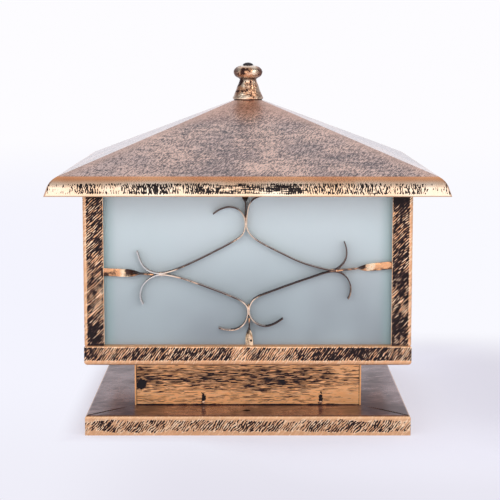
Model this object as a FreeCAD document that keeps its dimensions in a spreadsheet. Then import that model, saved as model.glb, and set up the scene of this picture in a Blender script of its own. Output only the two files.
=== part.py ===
# Square pillar light: mitred foot, neck, glazed lantern with bent-strip ornament, pyramid roof and finial.
# Millimetres. +Z is up and the front faces -Y. The origin is the centre of the foot's underside.
import FreeCAD, Part

import math
import os

import Sketcher

# Alias, size and meaning of every driving dimension.
DIMENSIONS = (
    ("base_width", 250.0, "foot, outside"),
    ("base_height", 15.4, "foot, upright leg of its angles"),
    ("gauge", 1.5, "sheet of the foot, sill, posts and top rails"),
    ("fold_radius", 2.2, "outside radius of a fold"),
    ("sill_fold_radius", 3.0, "outside radius of the sill's lower fold"),
    ("mitre_gap", 0.1, "half the open line of a mitre"),
    ("foot_ledge", 35.75, "foot's flange in front of the neck"),
    ("neck_height", 39.3, "foot's top to the sill's underside"),
    ("neck_gauge", 1.2, "sheet of the neck"),
    ("neck_seat", 3.0, "width of the foot's flange under the neck"),
    ("neck_recess", 0.25, "front and rear plates behind the side plates' edges"),
    ("floor_gauge", 2.0, "plate that is screwed to the pillar"),
    ("floor_lift", 2.0, "floor plate above the pillar"),
    ("fixing_spacing", 120.0, "between the four fixing holes"),
    ("fixing_hole_radius", 3.5, "fixing hole"),
    ("access_hole_radius", 13.0, "hole in the shelf above a fixing hole"),
    ("grommet_bore_radius", 5.0, "bore of the cable grommet"),
    ("grommet_wall", 4.9, "grommet inside the plate"),
    ("grommet_lip", 2.1, "grommet's flange past its hole"),
    ("grommet_lip_height", 1.5, "thickness of a grommet flange"),
    ("fit_gap", 0.1, "static parts that fit in one another"),
    ("sill_inset", 0.1, "sill behind the foot's face"),
    ("sill_height", 15.5, "sill channel"),
    ("sill_depth", 15.5, "flanges of the sill channel"),
    ("shelf_gauge", 1.5, "shelf plate"),
    ("shelf_wire_hole_radius", 9.0, "hole for the leads"),
    ("post_inset", 0.2, "post and top rail behind the sill's face"),
    ("post_leg", 15.5, "each leg of a corner post"),
    ("post_height", 117.3, "post between the sill and the top rail"),
    ("top_rail_depth", 20.0, "flange of a top rail"),
    ("strip_gauge", 0.8, "ornament strip, thickness"),
    ("strip_width", 5.8, "ornament strip, width"),
    ("stay_lap", 3.0, "stay behind the post it is welded to"),
    ("stay_top_lap", 5.0, "stay behind the top rail"),
    ("glass_gap", 0.4, "ornament to the pane"),
    ("glass_gauge", 3.0, "frosted pane"),
    ("glass_top_gap", 1.0, "pane to the top rail's flange"),
    ("clip_gauge", 1.0, "glass clip, sheet"),
    ("clip_width", 10.0, "glass clip, width"),
    ("clip_foot", 6.0, "glass clip, foot"),
    ("clip_height", 8.0, "glass clip, upright"),
    ("clip_spacing", 140.0, "between the two clips of a pane's edge"),
    ("pane_clip_gap", 0.3, "clip behind the pane"),
    ("roof_overhang", 25.5, "eave past the sill's face"),
    ("roof_gauge", 1.2, "roof sheet"),
    ("roof_bend_radius", 13.0, "outside radius of the bend above the lip"),
    ("lip_drop", 12.3, "height of the roof's lip"),
    ("lip_flare", 4.3, "lip's outward slant"),
    ("roof_rise", 53.8, "bend to the flat top"),
    ("roof_flat_width", 23.0, "flat under the finial"),
    ("eave_drop", 1.0, "eave below the posts' tops"),
    ("gasket_height", 2.1, "foam ring under the roof"),
    ("gasket_width", 7.5, "foam ring, plan width"),
    ("roof_gap", 0.3, "roof above the foam ring"),
    ("overrun", 5.0, "cutters past what they cut"),
    ("crossbar_width", 22.0, "crossbar, across"),
    ("crossbar_gauge", 3.0, "crossbar, thickness"),
    ("crossbar_end_gap", 0.7, "crossbar's end to the pane"),
    ("crossbar_screw_inset", 6.0, "crossbar screw from the top rail's inner edge"),
    ("crossbar_screw_radius", 2.0, "crossbar screw"),
    ("crossbar_screw_head_radius", 3.5, "crossbar screw, head"),
    ("crossbar_screw_head_height", 2.2, "crossbar screw, head"),
    ("crossbar_screw_end", 1.0, "crossbar screw past the crossbar"),
    ("screw_clearance", 0.05, "hole round a screw"),
    ("rod_radius", 4.0, "threaded rod"),
    ("rod_clearance", 0.05, "finial's bore and nuts round the rod"),
    ("rod_hole_clearance", 0.6, "roof, washer and crossbar round the rod"),
    ("rod_engagement", 13.0, "rod inside the finial"),
    ("rod_tail", 8.0, "rod below the crossbar"),
    ("nut_radius", 7.5, "rod nut, across its corners, halved"),
    ("nut_height", 6.5, "rod nut"),
    ("washer_radius", 11.4, "sealing washer"),
    ("washer_height", 0.8, "sealing washer"),
    ("finial_foot_radius", 12.75, "foot of the finial's cone"),
    ("finial_edge", 1.6, "upright edge of the foot"),
    ("finial_cone_height", 14.6, "edge to the neck"),
    ("finial_neck_radius", 6.9, "neck under the ball"),
    ("ball_centre_height", 22.2, "foot to the ball's centre"),
    ("ball_radius", 12.0, "ball, half its width"),
    ("ball_half_height", 5.8, "ball, half its height"),
    ("bore_end", 1.0, "finial's bore past the rod"),
    ("cap_radius", 4.45, "dome on the finial"),
    ("cap_height", 2.4, "dome on the finial"),
    ("cap_stem_radius", 2.0, "stem of the dome"),
    ("cap_stem_length", 5.0, "stem of the dome"),
    ("bracket_span", 46.0, "lampholder bracket, raised part"),
    ("bracket_foot", 11.0, "lampholder bracket, each foot"),
    ("bracket_rise", 9.5, "lampholder bracket, height"),
    ("bracket_width", 26.0, "lampholder bracket, width"),
    ("bracket_wire_hole_radius", 5.0, "hole for the leads"),
    ("holder_screw_radius", 1.5, "bracket screw"),
    ("holder_screw_head_radius", 3.0, "bracket screw, head"),
    ("holder_screw_head_height", 1.8, "bracket screw, head"),
    ("holder_screw_end", 2.0, "bracket screw below the shelf"),
    ("holder_base_radius", 17.5, "lampholder, lower part"),
    ("holder_base_height", 14.0, "lampholder, lower part"),
    ("holder_shoulder", 3.0, "lampholder, slope between its two parts"),
    ("holder_radius", 20.0, "lampholder, upper part"),
    ("holder_height", 41.0, "lampholder"),
    ("holder_floor", 12.0, "lampholder under its well"),
    ("shell_radius", 13.9, "threaded shell, outside"),
    ("shell_gauge", 0.5, "threaded shell, sheet"),
    ("shell_height", 24.0, "threaded shell"),
    ("contact_length", 15.0, "centre contact of the holder"),
    ("contact_width", 6.0, "centre contact of the holder"),
    ("contact_gauge", 0.6, "centre contact of the holder"),
    ("contact_rise", 3.0, "centre contact of the holder"),
    ("lamp_gap", 0.35, "lamp to the lampholder"),
    ("lamp_contact_radius", 4.5, "lamp's centre contact"),
    ("lamp_contact_height", 1.6, "lamp's centre contact"),
    ("lamp_cap_foot_radius", 9.0, "insulator of the lamp's cap"),
    ("lamp_cap_foot_height", 4.0, "insulator of the lamp's cap"),
    ("lamp_cap_height", 25.0, "lamp's cap"),
    ("globe_radius", 22.5, "lamp's globe"),
    ("globe_neck_radius", 12.0, "lamp's glass at the cap"),
    ("globe_centre_height", 24.0, "cap to the globe's centre"),
    ("globe_neck_height", 11.0, "height of the cone under the globe"),
    ("globe_gauge", 1.0, "lamp's glass"),
    ("terminal_length", 36.0, "terminal block"),
    ("terminal_depth", 17.0, "terminal block"),
    ("terminal_height", 12.0, "terminal block"),
    ("terminal_distance", 36.0, "lamp's axis to the terminal block"),
    ("terminal_pitch", 11.0, "between the terminals"),
    ("terminal_hole_radius", 2.5, "terminal, screw hole"),
    ("terminal_hole_depth", 3.0, "terminal, screw hole"),
    ("lead_radius", 1.3, "insulated lead"),
    ("lead_rise", 2.0, "lead above the terminal block"),
    ("lead_bend_radius", 6.5, "lead, bend"),
    ("lead_spacing", 16.0, "between the two leads"),
    ("earth_screw_radius", 2.0, "earth screw"),
    ("earth_head_radius", 3.5, "earth screw, head"),
    ("earth_head_height", 2.4, "earth screw, head"),
    ("earth_screw_length", 5.0, "earth screw below its head"),
    ("earth_distance", 52.0, "lamp's axis to the earth screw"),
)

SIDES = ("front", "right", "rear", "left")
CORNERS = ("front_left", "front_right", "rear_right", "rear_left")
QUARTER_TURN = 90.0

# Centre lines of the four strips on one side of the lantern.
# Across: shares of half the opening between the posts. Up: shares of the posts' height.
SCROLL_SHARES = {
    "upper_left": (
        (-0.239, 0.859), (-0.175, 0.895), (-0.121, 0.904), (-0.070, 0.891), (-0.037, 0.861),
        (-0.0200, 0.821), (-0.0195, 0.770), (-0.036, 0.727), (-0.078, 0.694), (-0.192, 0.634),
        (-0.332, 0.568), (-0.455, 0.515), (-0.561, 0.481), (-0.627, 0.4740), (-0.682, 0.488),
        (-0.724, 0.518), (-0.749, 0.561), (-0.769, 0.618),
    ),
    "upper_right": (
        (0.155, 0.975), (0.088, 0.973), (0.044, 0.957), (0.013, 0.923), (0.000, 0.881),
        (-0.0070, 0.825), (-0.0060, 0.770), (0.022, 0.722), (0.081, 0.679), (0.239, 0.602),
        (0.352, 0.552), (0.458, 0.519), (0.540, 0.500), (0.597, 0.4955), (0.641, 0.518),
        (0.680, 0.571), (0.684, 0.627), (0.668, 0.678),
    ),
    "lower_left": (
        (-0.203, 0.116), (-0.151, 0.105), (-0.091, 0.105), (-0.042, 0.128), (-0.013, 0.164),
        (-0.0015, 0.205), (-0.0020, 0.247), (-0.026, 0.279), (-0.073, 0.306), (-0.218, 0.361),
        (-0.334, 0.402), (-0.455, 0.441), (-0.554, 0.4625), (-0.623, 0.4640), (-0.682, 0.440),
        (-0.730, 0.392), (-0.748, 0.329), (-0.728, 0.272),
    ),
    "lower_right": (
        (0.245, 0.178), (0.183, 0.142), (0.122, 0.127), (0.070, 0.140), (0.031, 0.171),
        (0.0120, 0.208), (0.0120, 0.250), (0.036, 0.297), (0.122, 0.341), (0.238, 0.381),
        (0.348, 0.418), (0.458, 0.453), (0.540, 0.478), (0.606, 0.4850), (0.665, 0.466),
        (0.705, 0.418), (0.716, 0.361), (0.697, 0.306),
    ),
}

# Each stay runs straight from its weld to its tip: (across, up) of both ends in the same shares.
# The two last values are the shares of that way at which its quarter turn begins and ends.
STAY_SHARES = {
    "left": ((-1.0, 0.481), (-0.655, 0.4675), 0.42, 0.72),
    "right": ((1.0, 0.525), (0.626, 0.4935), 0.38, 0.68),
    "top": ((-0.0172, 1.0), (-0.0150, 0.850), 0.05, 0.44),
    "bottom": ((0.0100, 0.0), (0.0100, 0.182), 0.14, 0.64),
}
TWIST_STEPS = 8
SAMPLES_PER_SPAN = 3


class Size:
    """A length worked out from the sheet: its value, and the formula that binds a property to it."""

    def __init__(self, value, formula):
        self.value = value
        self.formula = formula

    def __add__(self, other):
        return Size(self.value + other.value, f"({self.formula} + {other.formula})")

    def __sub__(self, other):
        return Size(self.value - other.value, f"({self.formula} - {other.formula})")

    def __neg__(self):
        return Size(-self.value, f"(0 - {self.formula})")

    def __mul__(self, factor):
        if isinstance(factor, Size):
            return Size(self.value * factor.value, f"({self.formula} * {factor.formula})")
        return Size(self.value * factor, f"({self.formula} * {factor})")

    def __truediv__(self, divisor):
        if isinstance(divisor, Size):
            return Size(self.value / divisor.value, f"({self.formula} / {divisor.formula})")
        return Size(self.value / divisor, f"({self.formula} / {divisor})")

    def root(self):
        return Size(math.sqrt(self.value), f"sqrt({self.formula})")


class Sizes:
    """Every driving dimension under its own name."""


doc = FreeCAD.newDocument("pillar_light")
sheet = doc.addObject("Spreadsheet::Sheet", "Sizes")
size = Sizes()
for row, (alias, value, meaning) in enumerate(DIMENSIONS, start=1):
    sheet.set(f"A{row}", meaning)
    sheet.set(f"B{row}", str(value))
    sheet.setAlias(f"B{row}", alias)
    setattr(size, alias, Size(value, f"Sizes.{alias}"))
doc.recompute()

ZERO = Size(0.0, "0")
ONE = Size(1.0, "1")

# Levels and half widths that several pieces share.
base_half = size.base_width / 2
neck_half = base_half - size.foot_ledge
lantern_half = base_half - size.sill_inset
post_half = lantern_half - size.post_inset
post_inner = post_half - size.gauge
opening_half = post_half - size.post_leg
sill_level = size.base_height + size.neck_height
sill_top = sill_level + size.sill_height
shelf_level = sill_level + size.gauge
shelf_top = shelf_level + size.shelf_gauge
post_top = sill_top + size.post_height
ornament_plane = post_inner - size.strip_gauge / 2
glass_outer = ornament_plane - size.strip_width / 2 - size.glass_gap
glass_inner = glass_outer - size.glass_gauge

eave_half = lantern_half + size.roof_overhang
bend_half = eave_half - size.lip_flare
flat_half = size.roof_flat_width / 2
roof_slope = size.roof_rise / (bend_half - flat_half)
eave_level = post_top - size.eave_drop
bend_level = eave_level + size.lip_drop
flat_level = bend_level + size.roof_rise
roof_sheet_rise = size.roof_gauge * (ONE + roof_slope * roof_slope).root()
roof_inner_at_rail = bend_level + (bend_half - post_half) * roof_slope - roof_sheet_rise
top_rail_top = roof_inner_at_rail - size.roof_gap - size.gasket_height
top_rail_height = top_rail_top - post_top
top_rail_inner = post_half - size.top_rail_depth
glass_height = top_rail_top - size.gauge - size.glass_top_gap - sill_top
crossbar_top = top_rail_top - size.gauge
crossbar_level = crossbar_top - size.crossbar_gauge
crossbar_half = glass_inner - size.crossbar_end_gap
crossbar_screw_at = top_rail_inner + size.crossbar_screw_inset
finial_level = flat_level + size.washer_height
rod_level = crossbar_level - size.rod_tail
rod_hole_radius = size.rod_radius + size.rod_hole_clearance
rod_bore_radius = size.rod_radius + size.rod_clearance

holder_level = shelf_top + size.bracket_rise
bracket_screw_at = (size.bracket_span + size.bracket_foot) / 2
holder_screw_hole = size.holder_screw_radius + size.screw_clearance
earth_screw_hole = size.earth_screw_radius + size.screw_clearance
crossbar_screw_hole = size.crossbar_screw_radius + size.screw_clearance
contact_top = holder_level + size.holder_floor + size.contact_rise + size.contact_gauge
lamp_level = contact_top + size.lamp_gap
lamp_cap_level = lamp_level + size.lamp_contact_height
lamp_cap_radius = size.shell_radius - size.shell_gauge - size.lamp_gap
globe_level = lamp_cap_level + size.lamp_cap_height
grommet_hole_radius = size.grommet_bore_radius + size.grommet_wall + size.fit_gap

nodes = []


def as_node(item, name):
    """Marks an object as one of the finished pieces."""
    item.Label = name
    nodes.append(item)
    return item


def turned(x, y, side):
    """A point of the front side, turned to another side of the square."""
    return ((x, y), (-y, x), (-x, -y), (y, -x))[side]


def place(item, x, y, z, side=0):
    """Puts an object at a point of the front side, turned with it to another side."""
    across, deep = turned(x, y, side)
    item.Placement = FreeCAD.Placement(
        FreeCAD.Vector(across.value, deep.value, z.value),
        FreeCAD.Rotation(FreeCAD.Vector(0, 0, 1), QUARTER_TURN * side),
    )
    item.setExpression("Placement.Base.x", across.formula)
    item.setExpression("Placement.Base.y", deep.formula)
    item.setExpression("Placement.Base.z", z.formula)
    return item


def bind(item, **properties):
    """Binds properties to sizes."""
    for name, length in properties.items():
        item.setExpression(name, length.formula)
    return item


def box(name, low, high, side=0):
    """A block between two corners, given on the front side."""
    block = doc.addObject("Part::Box", name)
    bind(block, Length=high[0] - low[0], Width=high[1] - low[1], Height=high[2] - low[2])
    return place(block, *low, side)


def cylinder(name, radius, height, x=ZERO, y=ZERO, z=ZERO, side=0):
    """An upright cylinder standing on a point."""
    post = doc.addObject("Part::Cylinder", name)
    bind(post, Radius=radius, Height=height)
    return place(post, x, y, z, side)


def cone(name, foot_radius, top_radius, height, z):
    """An upright cone on the axis."""
    taper = doc.addObject("Part::Cone", name)
    bind(taper, Radius1=foot_radius, Radius2=top_radius, Height=height)
    return place(taper, ZERO, ZERO, z)


def fuse(name, *parts):
    """Joins objects into one solid."""
    joined = doc.addObject("Part::MultiFuse", name)
    joined.Shapes = list(parts)
    joined.Refine = True
    return joined


def cut(name, base, *tools):
    """Takes tools out of an object."""
    tool = tools[0]
    if len(tools) > 1:
        tool = doc.addObject("Part::Compound", name + "_tools")
        tool.Links = list(tools)
    result = doc.addObject("Part::Cut", name)
    result.Base = base
    result.Tool = tool
    return result


def group(name, parts):
    """Several like solids that share one node."""
    together = doc.addObject("Part::Compound", name)
    together.Links = list(parts)
    return as_node(together, name)


def origin_plane(body, role):
    """One of the body's own planes."""
    return next(item for item in body.Origin.OriginFeatures if item.Role == role)


def square(half):
    """The corners of a square round the axis."""
    return [(-half, -half), (half, -half), (half, half), (-half, half)]


def new_sketch(body, name, role):
    """An empty sketch on one of the body's own planes."""
    sketch = body.newObject("Sketcher::SketchObject", name)
    sketch.AttachmentSupport = [(origin_plane(body, role), "")]
    sketch.MapMode = "FlatFace"
    return sketch


def fix_point(sketch, edge, end, x, y):
    """Ties one point of a sketch to sizes, measured from the sketch's origin."""
    for kind, length, axis in (("DistanceX", x, -2), ("DistanceY", y, -1)):
        if length.value == 0:
            sketch.addConstraint(Sketcher.Constraint("PointOnObject", edge, end, axis))
        else:
            number = sketch.addConstraint(Sketcher.Constraint(kind, -1, 1, edge, end, length.value))
            sketch.setExpression(f"Constraints[{number}]", length.formula)


def outline(body, name, role, points):
    """A closed outline of straight lines through points given as sizes."""
    sketch = new_sketch(body, name, role)
    places = [FreeCAD.Vector(x.value, y.value, 0) for x, y in points]
    count = len(places)
    for number in range(count):
        sketch.addGeometry(Part.LineSegment(places[number], places[(number + 1) % count]), False)
    for number in range(count):
        sketch.addConstraint(Sketcher.Constraint("Coincident", number, 2, (number + 1) % count, 1))
    for number, (x, y) in enumerate(points):
        fix_point(sketch, number, 1, x, y)
    return sketch


def circles(body, name, role, radius, centres):
    """Equal circles in one sketch."""
    sketch = new_sketch(body, name, role)
    for number, (x, y) in enumerate(centres):
        middle = FreeCAD.Vector(x.value, y.value, 0)
        sketch.addGeometry(Part.Circle(middle, FreeCAD.Vector(0, 0, 1), radius.value), False)
        fix_point(sketch, number, 3, x, y)
        constraint = sketch.addConstraint(Sketcher.Constraint("Radius", number, radius.value))
        sketch.setExpression(f"Constraints[{constraint}]", radius.formula)
    return sketch


def pad(body, name, sketch, length, both_ways=False):
    """Pads a sketch up from its plane, or half each way."""
    feature = body.newObject("PartDesign::Pad", name)
    feature.Profile = sketch
    if both_ways:
        feature.SideType = "Symmetric"
    bind(feature, Length=length)
    return feature


def pocket(body, name, sketch):
    """Cuts a sketch right through the body, both ways."""
    feature = body.newObject("PartDesign::Pocket", name)
    feature.Profile = sketch
    feature.Type = "ThroughAll"
    feature.SideType = "Symmetric"
    return feature


def revolve(body, name, sketch):
    """Turns a sketch of the body's XZ plane round the upright axis."""
    feature = body.newObject("PartDesign::Revolution", name)
    feature.Profile = sketch
    feature.ReferenceAxis = (sketch, ["V_Axis"])
    feature.Angle = 360
    return feature


def round_edges(body, name, radius, wanted):
    """Rounds the edges of the body's last feature that pass a test."""
    doc.recompute()
    base = body.Tip
    edges = [f"Edge{number}" for number, edge in enumerate(base.Shape.Edges, start=1) if wanted(edge)]
    feature = body.newObject("PartDesign::Fillet", name)
    feature.Base = (base, edges)
    bind(feature, Radius=radius)
    return feature


def runs_along(edge, axis, x=None, y=None, z=None):
    """Whether an edge runs along an axis through the places given."""
    near = size.fit_gap.value / 10
    first, last = edge.Vertexes[0].Point, edge.Vertexes[-1].Point
    way = last - first
    if abs(abs(way.dot(axis)) - way.Length) > near:
        return False
    wanted = zip((x, y, z), (first, last)[0])
    return all(length is None or abs(length.value - found) < near for length, found in wanted)


ALONG_X = FreeCAD.Vector(1, 0, 0)
ALONG_Y = FreeCAD.Vector(0, 1, 0)
ALONG_Z = FreeCAD.Vector(0, 0, 1)


def mitred_rail(name, side, half, depth, height, level, lower_flange=False, holes=(), hole_radius=None):
    """A folded angle or channel, mitred at both ends to meet its neighbours round the square."""
    body = doc.addObject("PartDesign::Body", name)
    face = -half
    back = depth - half
    outer = half - size.mitre_gap
    inner = half - depth - size.mitre_gap
    corners = [(-outer, face), (outer, face), (inner, back), (-inner, back)]
    pad(body, name + "_block", outline(body, name + "_plan", "XY_Plane", corners), height)
    foot = size.gauge if lower_flange else -size.overrun
    roof = height - size.gauge
    inside = outline(
        body,
        name + "_inside",
        "YZ_Plane",
        [
            (face + size.gauge, foot),
            (back + size.overrun, foot),
            (back + size.overrun, roof),
            (face + size.gauge, roof),
        ],
    )
    pocket(body, name + "_hollow", inside)
    if holes:
        pocket(body, name + "_holes", circles(body, name + "_drill", "XY_Plane", hole_radius, holes))
    round_edges(
        body, name + "_fold", size.fold_radius, lambda edge: runs_along(edge, ALONG_X, y=face, z=height)
    )
    if lower_flange:
        round_edges(
            body,
            name + "_lower_fold",
            size.sill_fold_radius,
            lambda edge: runs_along(edge, ALONG_X, y=face, z=ZERO),
        )
    place(body, ZERO, ZERO, level, side)
    return as_node(body, name)


def foot_frame():
    """Four mitred angles: their flanges carry the neck."""
    depth = size.foot_ledge + size.neck_seat
    for side, word in enumerate(SIDES):
        mitred_rail(f"base_rail_{word}", side, base_half, depth, size.base_height, ZERO)


def neck():
    """Four plates. The side plates cover the ends of the front and rear plates."""
    top = shelf_level
    inner = neck_half - size.neck_gauge
    for side, word in enumerate(SIDES):
        if word in ("front", "rear"):
            low = (-inner, size.neck_recess - neck_half, size.base_height)
            high = (inner, size.neck_recess + size.neck_gauge - neck_half, top)
        else:
            low = (-neck_half, -neck_half, size.base_height)
            high = (neck_half, -inner, top)
        as_node(box(f"neck_{word}", low, high, side), f"neck_{word}")


def floor_plate():
    """The plate that is screwed to the pillar, with its fixing holes and the cable entry."""
    body = doc.addObject("PartDesign::Body", "floor_plate")
    half = base_half - size.gauge - size.fit_gap
    pad(body, "floor_block", outline(body, "floor_plan", "XY_Plane", square(half)), size.floor_gauge)
    at = size.fixing_spacing / 2
    fixing = circles(body, "fixing_drill", "XY_Plane", size.fixing_hole_radius, [(at, at)])
    hole = pocket(body, "fixing_hole", fixing)
    pattern = body.newObject("PartDesign::PolarPattern", "fixing_holes")
    pattern.Originals = [hole]
    pattern.Axis = (fixing, ["N_Axis"])
    pattern.Angle = 360
    pattern.Occurrences = len(SIDES)
    body.Tip = pattern
    entry = circles(body, "entry_drill", "XY_Plane", grommet_hole_radius, [(ZERO, ZERO)])
    pocket(body, "cable_entry", entry)
    place(body, ZERO, ZERO, size.floor_lift)
    as_node(body, "floor_plate")


def cable_grommet():
    """Rubber grommet that grips the floor plate in its groove."""
    body = doc.addObject("PartDesign::Body", "cable_grommet")
    bore = size.grommet_bore_radius
    groove = bore + size.grommet_wall
    lip = groove + size.fit_gap + size.grommet_lip
    top = size.floor_gauge + size.grommet_lip_height
    points = [
        (bore, -size.grommet_lip_height),
        (lip, -size.grommet_lip_height),
        (lip, ZERO),
        (groove, ZERO),
        (groove, size.floor_gauge),
        (lip, size.floor_gauge),
        (lip, top),
        (bore, top),
    ]
    revolve(body, "grommet_ring", outline(body, "grommet_profile", "XZ_Plane", points))
    place(body, ZERO, ZERO, size.floor_lift)
    as_node(body, "cable_grommet")


def shelf_plate():
    """The lantern's floor, with holes above the fixing holes and for the leads."""
    body = doc.addObject("PartDesign::Body", "shelf_plate")
    half = lantern_half - size.gauge - size.fit_gap
    pad(body, "shelf_block", outline(body, "shelf_plan", "XY_Plane", square(half)), size.shelf_gauge)
    places = square(size.fixing_spacing / 2)
    pocket(body, "access_holes", circles(body, "access_drill", "XY_Plane", size.access_hole_radius, places))
    wires = circles(body, "wire_drill", "XY_Plane", size.shelf_wire_hole_radius, [(ZERO, ZERO)])
    pocket(body, "wire_hole", wires)
    places = [(bracket_screw_at, ZERO), (-bracket_screw_at, ZERO)]
    pocket(body, "bracket_holes", circles(body, "bracket_drill", "XY_Plane", holder_screw_hole, places))
    earth = circles(body, "earth_drill", "XY_Plane", earth_screw_hole, [(ZERO, -size.earth_distance)])
    pocket(body, "earth_hole", earth)
    place(body, ZERO, ZERO, shelf_level)
    as_node(body, "shelf_plate")


def lantern_frame():
    """Sill channels, corner posts and the top rails under the roof."""
    for side, word in enumerate(SIDES):
        mitred_rail(
            f"lower_rail_{word}",
            side,
            lantern_half,
            size.sill_depth,
            size.sill_height,
            sill_level,
            lower_flange=True,
        )
    for side, word in enumerate(SIDES):
        drilled = [(ZERO, -crossbar_screw_at)] if word in ("left", "right") else ()
        mitred_rail(
            f"top_rail_{word}",
            side,
            post_half,
            size.top_rail_depth,
            top_rail_height,
            post_top,
            holes=drilled,
            hole_radius=crossbar_screw_hole,
        )
    for side, word in enumerate(CORNERS):
        corner_post(f"post_{word}", side)


def corner_post(name, side):
    """A folded angle on one corner."""
    body = doc.addObject("PartDesign::Body", name)
    face = -post_half
    back = size.gauge - post_half
    end = size.post_leg - post_half
    points = [(face, face), (end, face), (end, back), (back, back), (back, end), (face, end)]
    pad(body, name + "_bar", outline(body, name + "_section", "XY_Plane", points), size.post_height)
    round_edges(
        body, name + "_fold", size.fold_radius, lambda edge: runs_along(edge, ALONG_Z, x=face, y=face)
    )
    place(body, ZERO, ZERO, sill_top, side)
    as_node(body, name)


def glazing():
    """Four panes that stand on the sill. The side panes fit between the front and rear ones."""
    for side, word in enumerate(SIDES):
        half = glass_outer if word in ("front", "rear") else glass_inner - size.fit_gap
        low = (-half, -glass_outer, sill_top)
        high = (half, -glass_inner, sill_top + glass_height)
        as_node(box(f"glass_{word}", low, high, side), f"glass_{word}")
    glass_clips("lower_glass_clips", sill_top, size.clip_gauge, size.clip_height)
    glass_clips("upper_glass_clips", crossbar_top, -size.clip_gauge, -size.clip_height)


def glass_clips(name, level, foot_height, upright_height):
    """Bent tabs behind the panes, two on each side, rising or hanging from one level."""
    face = glass_inner - size.pane_clip_gap
    tabs = []
    for side, word in enumerate(SIDES):
        for hand, shift in (("a", -size.clip_spacing / 2), ("b", size.clip_spacing / 2)):
            left = shift - size.clip_width / 2
            right = shift + size.clip_width / 2
            label = f"{name}_{word}_{hand}"
            foot_low, foot_high = sorted((level, level + foot_height), key=lambda height: height.value)
            low, high = sorted((level, level + upright_height), key=lambda height: height.value)
            heel = size.clip_foot - face
            foot = box(label + "_foot", (left, -face, foot_low), (right, heel, foot_high), side)
            tab = box(label + "_tab", (left, -face, low), (right, size.clip_gauge - face, high), side)
            tabs.append(fuse(label, foot, tab))
    group(name, tabs)


def opening_point(shares):
    """A point of the front opening, across and up, from its shares."""
    return shares[0] * opening_half.value, sill_top.value + shares[1] * size.post_height.value


def strip_along(points):
    """A flat strip seen edge on, bent along a smooth line through points of the front side."""
    line = Part.BSplineCurve()
    line.interpolate([FreeCAD.Vector(x, -ornament_plane.value, z) for x, z in points])
    count = SAMPLES_PER_SPAN * (len(points) - 1)
    first, last = line.FirstParameter, line.LastParameter
    edges = []
    for way in (1, -1):
        offset = []
        for number in range(count + 1):
            at = first + (last - first) * number / count
            tangent = line.tangent(at)[0]
            outward = FreeCAD.Vector(-tangent.z, 0, tangent.x)
            offset.append(line.value(at) + outward * (way * size.strip_gauge.value / 2))
        side_line = Part.BSplineCurve()
        side_line.interpolate(offset)
        edges.append(side_line.toShape())
    starts = [edge.valueAt(edge.FirstParameter) for edge in edges]
    ends = [edge.valueAt(edge.LastParameter) for edge in edges]
    border = [edges[0], Part.makeLine(ends[0], ends[1]), edges[1], Part.makeLine(starts[1], starts[0])]
    face = Part.Face(Part.Wire(Part.__sortEdges__(border)))
    width = size.strip_width.value
    face.translate(FreeCAD.Vector(0, -width / 2, 0))
    return face.extrude(FreeCAD.Vector(0, width, 0))


def section_of_strip(centre, way, angle):
    """The strip's cross-section at a point, turned about the strip's own line."""
    across = way.cross(ALONG_Y)
    wide = across * math.cos(angle) + ALONG_Y * math.sin(angle)
    thick = way.cross(wide)
    half_wide = wide * (size.strip_width.value / 2)
    half_thick = thick * (size.strip_gauge.value / 2)
    right = [centre + half_wide - half_thick, centre + half_wide + half_thick]
    left = [centre - half_wide + half_thick, centre - half_wide - half_thick]
    return Part.makePolygon(right + left + right[:1])


def twisted_stay(shares, lap):
    """A flat strip welded behind the frame that turns edge on before its tip."""
    weld, tip, twist_from, twist_to = shares
    start = FreeCAD.Vector(*opening_point(weld), 0)
    end = FreeCAD.Vector(*opening_point(tip), 0)
    start, end = (FreeCAD.Vector(point.x, -ornament_plane.value, point.y) for point in (start, end))
    way = (end - start).normalize()
    run = (end - start).Length
    stations = [(-lap.value, 0.0)]
    for step in range(TWIST_STEPS + 1):
        share = step / TWIST_STEPS
        stations.append((run * (twist_from + (twist_to - twist_from) * share), math.pi / 2 * share))
    stations.append((run, math.pi / 2))
    wires = [section_of_strip(start + way * at, way, angle) for at, angle in stations]
    return Part.makeLoft(wires, True, True)


def ornament():
    """Four bent strips and four twisted stays on every side."""
    laps = {"left": size.stay_lap, "right": size.stay_lap, "top": size.stay_top_lap, "bottom": ZERO}
    strips = {name: strip_along(list(map(opening_point, shares))) for name, shares in SCROLL_SHARES.items()}
    stays = {name: twisted_stay(shares, laps[name]) for name, shares in STAY_SHARES.items()}
    for side, word in enumerate(SIDES):
        for kind, shapes in (("scrolls", strips), ("stays", stays)):
            copies = []
            for name, shape in shapes.items():
                copy = doc.addObject("Part::Feature", f"{kind}_{word}_{name}")
                copy.Shape = shape
                copies.append(place(copy, ZERO, ZERO, ZERO, side))
            group(f"{kind}_{word}", copies)


def roof_prism(name, side):
    """The roof's outline drawn out straight: two of these, crossed, share the roof's four slopes."""
    body = doc.addObject("PartDesign::Body", name)
    top = size.lip_drop + size.roof_rise
    right = [(eave_half, ZERO), (bend_half, size.lip_drop), (flat_half, top)]
    left = [(-x, z) for x, z in reversed(right)]
    profile = outline(body, name + "_profile", "XZ_Plane", right + left)
    pad(body, name + "_block", profile, (eave_half + size.overrun) * 2, both_ways=True)
    round_edges(
        body,
        name + "_bends",
        size.roof_bend_radius,
        lambda edge: runs_along(edge, ALONG_Y, x=bend_half, z=size.lip_drop)
        or runs_along(edge, ALONG_Y, x=-bend_half, z=size.lip_drop),
    )
    return place(body, ZERO, ZERO, eave_level, side)


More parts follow.
